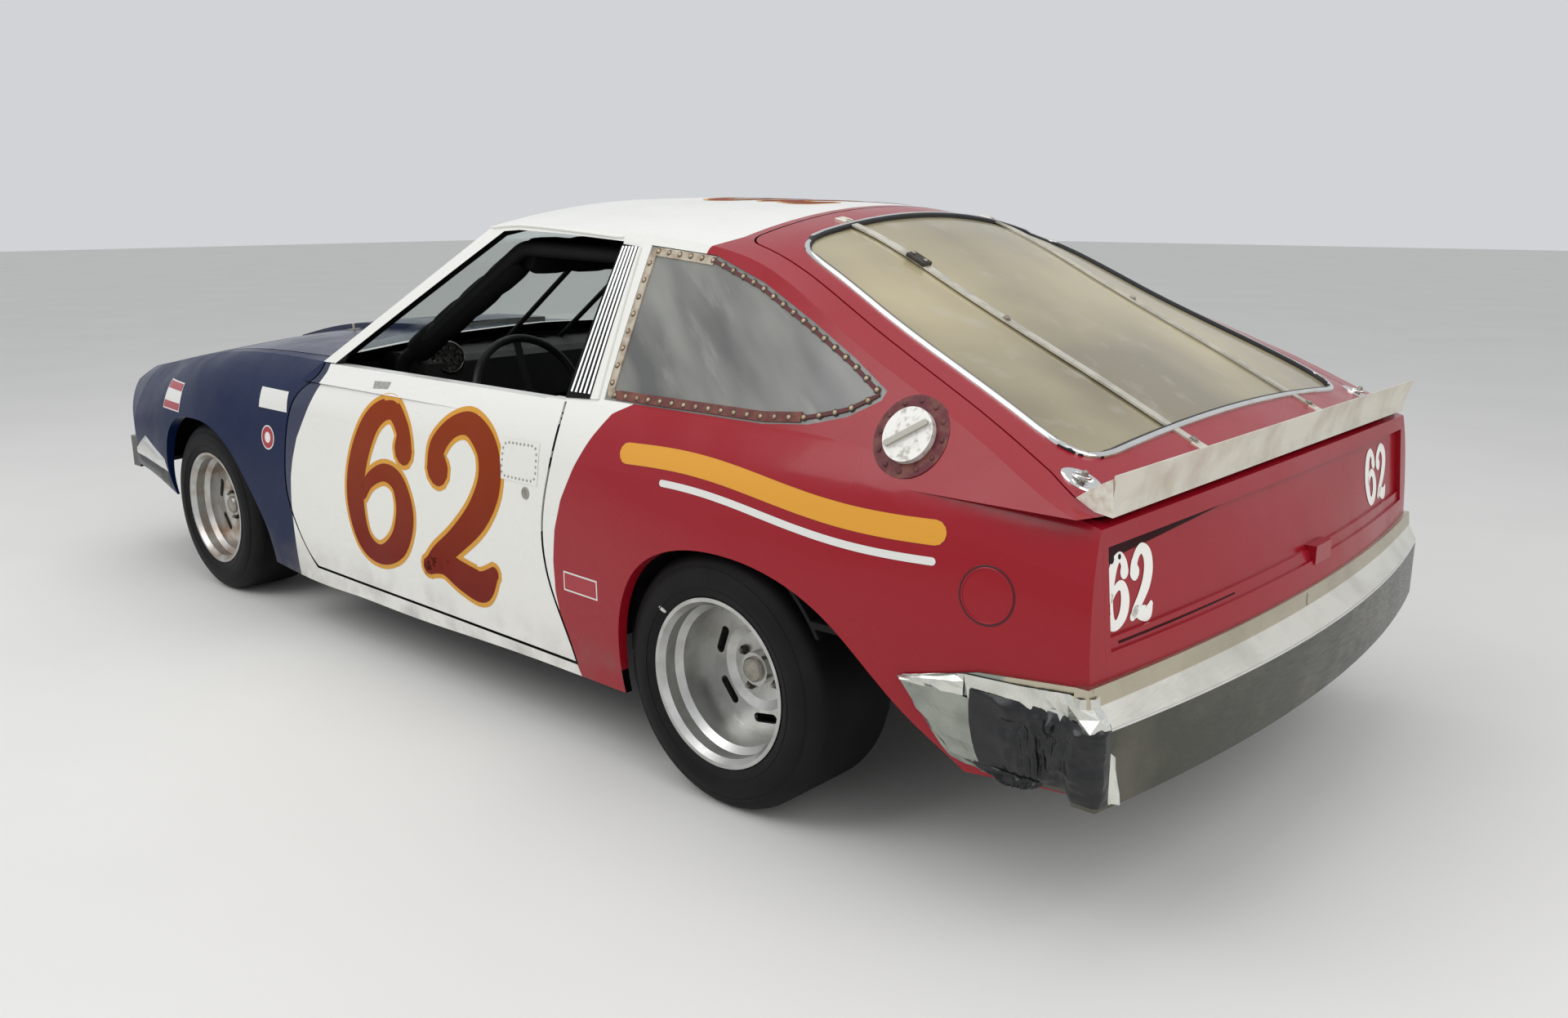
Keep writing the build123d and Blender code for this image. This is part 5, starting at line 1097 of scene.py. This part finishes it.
# Columns: radius, finish, height above the paint
ROUND_STICKER = [(38, sticker_white, 0.7), (34, sticker_red, 1.0), (17, sticker_white, 1.3)]
for side, word in SIDES:
    on_fender = side_search(skin(f"fender_{word}"), side)
    on_quarter = side_search(skin(f"quarter_panel_{word}"), side)
    for rows, search in ((FENDER_STICKERS, on_fender), (QUARTER_STICKERS, on_quarter)):
        for label, box, margin, finish, lift in rows:
            patch(f"sticker_{label}_{word}", search, box_corners(*box, margin), finish, "chassis", lift)
    disc = on_fender((1948, 597))
    for radius, finish, height in ROUND_STICKER:
        profile = [(radius, 0), (radius, height)]
        turned(f"sticker_round_{radius}_{word}", profile, disc, finish, "chassis", 40)
    wave = [(270 - t * 830, 762 - 34 * t + 12 * math.sin(t * 6.0), 1) for t in [k / 40 for k in range(41)]]
    stroke(f"ochre_stripe_{word}", wave, 46, on_quarter, ochre_stripe, "chassis", 0.8, columns=6)
    line = [(ahead, up - 52, 1) for ahead, up, _ in wave[6:]]
    stroke(f"white_stripe_{word}", line, 15, on_quarter, sticker_white, "chassis", 0.8)

# %% [markdown]
# The rear bumper's left end was hit. Crumpled black rubber sheet wraps its corner, and the bright
# wrapper above it is creased. Both are grids cast onto the bumper. Random heights on a coarse net
# give the folds: blended softly they are slack rubber, and left as flat facets they are thin metal.

# %% Crumpled rubber and the creased wrapper
# Thin sheet rubber: glossy enough that each fold catches light.
crumpled_rubber = plain("crumpled_black_rubber", "#0d0e10", "#1d1e20", 0.3, 3.0, 30, 0.7, 0.4)
# Clean aluminium that the folds have kept bright, so its facets flash white.
creased_sheet = metal("creased_bright_aluminium", "#dedfd8", "#a5a59c", 0.3, EVEN, 4, 60, 0.4, 0.1)
on_bumper = back_search(skin("rear_bumper"))
CORNER_AHEAD = -800
CORNER_LEFT = 780
# In metres: rays start this far from the corner's middle, and its skin lies closer than the second.
CORNER_START = 0.5
CORNER_REACH = 0.36
corner_skin = skin("rear_bumper", "quarter_panel_left")


def corner_spot(p):
    """A place on the bumper's left corner: degrees about the corner's middle, and height."""
    turn = math.radians(p[0])
    out = Vector((math.cos(turn), math.sin(turn), 0))
    middle = place(CORNER_AHEAD, CORNER_LEFT, p[1])
    spot = cast(corner_skin, middle + out * CORNER_START, -out)
    return spot if spot and (spot[0] - middle).length < CORNER_REACH else None


def crumple(seed, columns, rows, height):
    """A function of (u, v): random heights on a coarse net, blended softly between its knots."""
    dice = random.Random(seed)
    net = [[dice.uniform(0, height) for _ in range(columns + 1)] for _ in range(rows + 1)]

    def read(u, v):
        i, j = min(int(u * columns), columns - 1), min(int(v * rows), rows - 1)
        a, b = u * columns - i, v * rows - j
        a, b = a * a * (3 - 2 * a), b * b * (3 - 2 * b)
        low = (1 - a) * net[j][i] + a * net[j][i + 1]
        high = (1 - a) * net[j + 1][i] + a * net[j + 1][i + 1]
        return (1 - b) * low + b * high

    return read


slack = crumple(4, 9, 6, 16)
ripple = crumple(9, 22, 15, 5)
crease = crumple(2, 14, 3, 14)


def rubber_folds(u, v):
    """Slack folds with upright ribs near the front edge."""
    ribs = 1.6 * math.sin((1 - u) * 90) if 0.55 < u < 0.92 and v < 0.7 else 0
    edge = min(1, min(u, 1 - u, v, 1 - v) * 8)
    return 4 + ribs + (slack(u, v) + ripple(u, v)) * edge


def wrapper_folds(u, v):
    """Sharp facets, flatter at the top edge."""
    return 1.5 + crease(u, v) * (1.0 - 0.6 * v) * (1.0 - 0.7 * u)


def bulge(u, v):
    """A rounded section that dies out at both ends."""
    return 9 * max(0, math.sin(math.pi * v)) ** 0.6 * min(1, 6 * u, 6 * (1 - u))


# The front bar's ends turn back along the fenders: plated on top, black rubber below.
for side, word in SIDES:
    on_front = side_search(skin(f"fender_{word}", "nose_panel"), side)
    upper = [(3120, 398), (2738, 378), (2748, 424), (2935, 484)]
    lower = [(3080, 368), (2780, 308), (2738, 377), (3112, 397)]
    patch(f"front_bumper_end_{word}", on_front, upper, chrome, "chassis", 0.6, (30, 8), bulge)
    patch(f"front_rubber_end_{word}", on_front, lower, crumpled_rubber, "chassis", 0.6, (30, 8), bulge)
# The aluminium that wraps the quarter's side reaches down to the quarter's lower edge. It is
# oxidised to a greenish grey.
side_wrap = metal("creased_side_wrap", "#a3a8a0", "#767a73", 0.36, EVEN, 4, 60, 0.5, 0.1)
dents = crumple(7, 6, 5, 7)
wrap_spot = side_search(corner_skin)
# Columns: name, search, corners, finish, lift in mm, cells, relief, whether its facets are blended
DAMAGE = [
    ("bumper_rubber_end", corner_spot, [(158, 305), (22, 304), (28, 458), (158, 448)],
     crumpled_rubber, 1.0, (84, 44), rubber_folds, True),
    ("bumper_rubber_hem", corner_spot, [(72, 298), (21, 285), (21, 312), (72, 312)],
     crumpled_rubber, 1.0, (30, 6), rubber_folds, True),
    ("bumper_side_wrap", wrap_spot, [(-700, 283), (-598, 304), (-509, 448), (-708, 434)],
     side_wrap, 0.8, (12, 8), dents, False),
    ("bumper_wrapper_tip", wrap_spot, [(-640, 440), (-512, 441), (-509, 450), (-642, 483)],
     creased_sheet, 2.0, (6, 3), dents, False),
    ("bumper_creased_wrapper", corner_spot, [(152, 440), (27, 439), (27, 483), (152, 495)],
     creased_sheet, 0.6, (14, 3), wrapper_folds, False),
    # The hit left a bright dent at the very corner.
    ("bumper_corner_dent", corner_spot, [(167, 304), (158, 306), (158, 400), (165, 388)],
     creased_sheet, 1.5, (2, 4), wrapper_folds, False),
]
for name, search, corners, finish, lift, cells, relief, smooth in DAMAGE:
    patch(name, search, corners, finish, "chassis", lift, cells, relief, smooth)
edge_spots = find(on_bumper, [(840 - 40 * k, BUMPER_FACE_TOP - 1.5) for k in range(43)])
strip("bumper_bright_edge", edge_spots, flat_bar(5, 1.2, 1), chrome, "chassis")

# %% [markdown]
# The spoiler's sheet turns forward at its left end as a small white flap. Under its blade the tail
# has a shaded recess with two holes at its left end.

# %% Spoiler return and tail shadows
FLAP = [(-868, 787, 857), (-872, 787, 792), (-838, 786, 797), (-800, 783, 815), (-832, 784, 838)]
FLAP_SHEET = 1.6
# White paint gone tan with dirt.
flap_white = plain("dirty_white_flap_paint", "#dad6ca", "#a8926f", 0.5, 2.0, 14, 0.5, 0.2)
flap_rings = [[place(ahead, left - inward, up) for ahead, left, up in FLAP] for inward in (0, FLAP_SHEET)]
tube("spoiler_end_return", flap_rings, flap_white, "hatch", smooth=False)
# The recess and the ridge are shallow, and their dark crimson with no gloss reads as shade.
shadow_red = enamel("crimson_recess_shadow", "#2c050b", gloss=0.5, coat=0.0, shine=0.1)
# Nothing comes back from inside the two holes.
hole_black = plain("black_hole_shadow", "#050505", "#080808", 0.9, 2.0, 20, 0.2, 0.05)
recess = [(768, 709), (310, 731), (310, 736), (768, 736)]
ridge = [(740, 562), (330, 563), (330, 566), (740, 567)]
patch("tail_recess_shadow", tail_spot, recess, shadow_red, "chassis", 0.7, (24, 4))
patch("tail_ridge_shadow", tail_spot, ridge, shadow_red, "chassis", 0.7, (24, 2))
for left, radius in ((742, 8), (716, 5)):
    hole = [(radius, 0.5), (radius, 1.2)]
    turned(f"tail_hole_{left}", hole, tail_spot((left, 708)), hole_black, "chassis", 20)
seam = find(on_bumper, [(35 + 3 * math.sin(k), 478 + k * 5) for k in range(6)])
strip("bumper_band_seam", seam, flat_bar(2.5, 0.6, 1), dark_steel, "chassis")

# %% [markdown]
# Wheels ride on their own bodies: four nuts on studs, a grease cap on the hub, a valve, and fine
# moulded rings on the tyre's wall. A short white dash marks each rear tyre.

# %% Wheel hardware
NUT = [(11, -6), (11, 9), (8, 13)]
STUD = [(5, 0), (5, 20), (4, 21.5)]
GREASE_CAP = [(29, 18), (29, 30), (25, 35), (12, 38)]
VALVE = [(4.5, 0), (4.5, 22), (3, 24), (3, 30)]
# Distances from the hub in mm, and turns about it in degrees, but the valve's in radians
NUT_CIRCLE = 57
FIRST_NUT = 30
VALVE_CIRCLE = 143
VALVE_TURN = 2.2
TYRE_RINGS = (214, 258)
DASH_SPAN = (203, 208, 213)
DASH_TURN = 41
# Paint stick on rubber: dull and patchy.
tyre_white = plain("white_tyre_mark", "#cfcdc6", "#8d8b84", 0.7, 1.0, 10, 0.5, 0.2)
# Columns: wheel, distance ahead of the rear axle, distance of the disc's face from the middle
WHEELS = [("rear", 0, 703), ("front", WHEELBASE, 750)]
for end, ahead, disc_left in WHEELS:
    for side, word in SIDES:
        body = f"{end}_wheel_{word}"
        out = Vector((0, side, 0))
        hub = place(ahead, side * disc_left, AXLE_Z)
        for k in range(4):
            turn = math.radians(FIRST_NUT + 90 * k)
            spot = (hub + Vector((math.cos(turn), 0, math.sin(turn))) * NUT_CIRCLE * MM, out)
            turned(f"{end}_stud_{word}_{k}", STUD, spot, zinc_steel, body, 12)
            turned(f"{end}_nut_{word}_{k}", NUT, spot, dark_steel, body, 6, smooth=False)
        turned(f"{end}_grease_cap_{word}", GREASE_CAP, (hub, out), zinc_steel, body, 32)
        way = Vector((math.cos(VALVE_TURN), 0, math.sin(VALVE_TURN)))
        valve = (hub + way * VALVE_CIRCLE * MM, out)
        turned(f"{end}_valve_{word}", VALVE, valve, seal_rubber, body, 10)
        on_tyre = side_search(skin(f"{end}_tyre_{word}"), side)
        for radius in TYRE_RINGS:
            ring = find(on_tyre, [(ahead + a, AXLE_Z + b) for a, b in ring_path((0, 0), radius, 72)])
            name = f"{end}_tyre_ring_{word}_{radius}"
            strip(name, ring, low_arch(3, 1.4), tyre_rubber, body, closed=True)
        if end == "rear":
            turn = math.radians(DASH_TURN)
            dash = [(ahead + math.cos(turn) * r, AXLE_Z + math.sin(turn) * r, 1) for r in DASH_SPAN]
            stroke(f"tyre_dash_{word}", dash, 9, on_tyre, tyre_white, body, 0.8)

# %% [markdown]
# Through the open door window the cabin shows: foam padding on the cage's front legs, a big round
# gauge at the dash's top and the three windshield braces. The foam is wrapped with tape, so its
# surface bulges between the bands.

# %% Cage padding, gauge and hood pins
PAD_STEPS = 40
PAD_SIDES = 20
PIN_PLATE = [(24, -1), (24, 1.5), (21, 3), (9, 3)]
HOOD_PIN = [(5, 0), (5, 18), (3.5, 21)]
GAUGE_CASE = [(38, -70), (50, -40), (50, 4), (46, 8), (43, 4), (42, 0)]
GAUGE_BEZEL = [(50.5, 1), (50.5, 6), (46, 9), (44, 6)]


def padding(name, start, end, radius, bands=4):
    """Foam wound round a tube between two places, drawn in a little by bands of tape."""
    run = end - start
    sideways = run.cross(Vector((0, 0, 1))).normalized()
    upward = sideways.cross(run).normalized()
    turns = [2 * math.pi * k / PAD_SIDES for k in range(PAD_SIDES)]
    rows = []
    for k in range(PAD_STEPS + 1):
        t = k / PAD_STEPS
        size = 0.72 if k in (0, PAD_STEPS) else 1 - 0.09 * math.cos(t * math.pi * bands) ** 8
        ring = [sideways * math.cos(a) + upward * math.sin(a) for a in turns]
        rows.append([start + run * t + way * (radius * MM * size) for way in ring])
    tube(name, rows, pad_foam, "chassis")


padding("header_padding", place(1064, 500, 1161), place(1064, -500, 1161), 50, 7)
for side, word in SIDES:
    padding(f"cage_padding_{word}", place(1090, side * 500, 1150), place(1500, side * 598, 872), 40)
    pin_spot = top_search(skin("hood_panel"))((2360, side * 310))
    turned(f"hood_pin_plate_{word}", PIN_PLATE, pin_spot, zinc_steel, "hood", 28)
    turned(f"hood_pin_{word}", HOOD_PIN, pin_spot, zinc_steel, "hood", 12)
gauge_normal = Vector((-1, 0.25, 0.25)).normalized()
gauge_spot = (place(1478, 502, 850), gauge_normal)
turned("tachometer_case", GAUGE_CASE, gauge_spot, black_plastic, "chassis", 40)
turned("tachometer_bezel", GAUGE_BEZEL, gauge_spot, dark_chrome, "chassis", 40)
# The dial is a smooth black, and its ticks and needle are the only bright marks in the cabin.
dial_black = plain("dial_face_black", "#060607", "#0b0b0c", 0.35, 2.0, 30, 0.3, 0.05)
turned("tachometer_dial", [(43, 0.5), (43, 1.5)], gauge_spot, dial_black, "chassis", 40)
tick_white = plain("dial_tick_white", "#d8d7d0", "#c4c2ba", 0.5, 1.0, 10, 0.3, 0.05)
dial_side = gauge_normal.cross(Vector((0, 0, 1))).normalized()
dial_up = dial_side.cross(gauge_normal).normalized()
for k in range(11):
    turn = math.radians(225 - 27 * k)
    way = dial_side * math.cos(turn) + dial_up * math.sin(turn)
    marks = [(gauge_spot[0] + way * r * MM, gauge_normal) for r in (33, 37, 41)]
    strip(f"tachometer_tick_{k}", marks, flat_bar(2, 2.4, 1), tick_white, "chassis")
way = (dial_side * 0.3 - dial_up).normalized()
needle = [(gauge_spot[0] + way * r * MM, gauge_normal) for r in (-8, 10, 34)]
strip("tachometer_needle", needle, flat_bar(2.5, 3.6, 1), sticker_red, "chassis")

# %% [markdown]
# The photograph doesn't show the nose. Cars of this type had two lamps on each side behind one flat
# pane, so each pane carries two silvered bowls with plated rings. They are turned on the pane.

# %% Headlamps
# Silvering behind glass: bright, with faint upright flutes.
lamp_silver = metal("silvered_lamp_bowl", "#dfe3e4", "#b4babc", 0.16, UPRIGHT, 6, 40, 0.3, 0.15)
LAMP_RING = [(44, -1), (44, 3), (42, 5.5), (38, 4.5), (37, 1)]
LAMP_BOWL = [(37, 1), (32, 4), (22, 6.5), (10, 8)]
LAMP_LEFT = (516, 607)
LAMP_UP = 575
FAR_AHEAD = 3600
lamp_skin = skin("headlamps")
for side, word in SIDES:
    for left in LAMP_LEFT:
        lamp_spot = cast(lamp_skin, place(FAR_AHEAD, side * left, LAMP_UP), Vector((-1, 0, 0)))
        turned(f"lamp_ring_{word}_{left}", LAMP_RING, lamp_spot, chrome, "chassis", 40)
        turned(f"lamp_bowl_{word}_{left}", LAMP_BOWL, lamp_spot, lamp_silver, "chassis", 40)

# %% [markdown]
# A thin painted bead, the drip rail, follows the roof's edge above the door and window.

# %% Drip rail
RAIL_LINE = [(1110, 1236), (964, 1244), (761, 1234), (543, 1220), (455, 1218), (250, 1203)]
for side, word in SIDES:
    rail = find(side_search(roof_skin, side), smooth_line(RAIL_LINE, 6))
    rail = [spot for spot in rail if spot[0].y * side > NEAR_SIDE]
    strip(f"drip_rail_{word}", rail, low_arch(9, 6), white_paint, "chassis")

# %% [markdown]
# The car stands on a plain pale floor in soft studio light. The key comes from the front left and
# above, so the roof and the tops of the panels are brightest and the tail is in gentle shade.

# %% Camera, floor and light
scene = bpy.context.scene
# The camera was solved from the photograph: its lens and shift, its place, its view and its roll.
camera_data = bpy.data.cameras.new("photo_camera")
camera_data.sensor_width = 36
camera_data.lens = 28.93
camera_data.shift_x = 0.00625
camera = linked("photo_camera", camera_data)
camera.location = (-2.9865, 2.653, 1.294)
view = Vector((0.6557, -0.7179, -0.2338))
camera.rotation_mode = "QUATERNION"
camera.rotation_quaternion = view.to_track_quat("-Z", "Y")
camera.rotation_quaternion @= Quaternion((0, 0, 1), math.radians(-0.10))
scene.camera = camera


def area_light(name, spot, aim, size, power, tint=(1, 1, 1)):
    """A soft square lamp that faces a place."""
    data = bpy.data.lights.new(name, "AREA")
    data.size = size
    data.energy = power
    data.color = tint
    lamp = linked(name, data)
    lamp.location = spot
    lamp.rotation_mode = "QUATERNION"
    lamp.rotation_quaternion = (Vector(aim) - Vector(spot)).to_track_quat("-Z", "Y")


area_light("key", (1.0, 4.5, 5.0), (0, 0, 0.5), 4.0, 130)
area_light("fill", (-5.0, 1.0, 3.4), (0, 0, 0.5), 4.0, 75)
area_light("top", (0, 0, 6.0), (0, 0, 0), 5.0, 70)
floor_paint, tree, shader, coords = new_material("pale_floor")
tone = patches(tree, coords, 900, 0.3, 0.7)
feed(tree, shader, {"Base Color": layered(tree, "#d9d8d4", [(tone, "#dddcd8")]), "Roughness": 0.85})
floor_corners = [(-40, -40, 0), (40, -40, 0), (40, 40, 0), (-40, 40, 0)]
floor = linked("studio_floor", new_mesh("studio_floor", floor_corners, [(0, 1, 2, 3)], floor_paint))
world = bpy.data.worlds.new("studio")
world.use_nodes = True
sky = {"Color": (0.80, 0.82, 0.85, 1), "Strength": 0.8}
feed(world.node_tree, world.node_tree.nodes["Background"], sky)
scene.world = world
scene.view_settings.view_transform = "Standard"
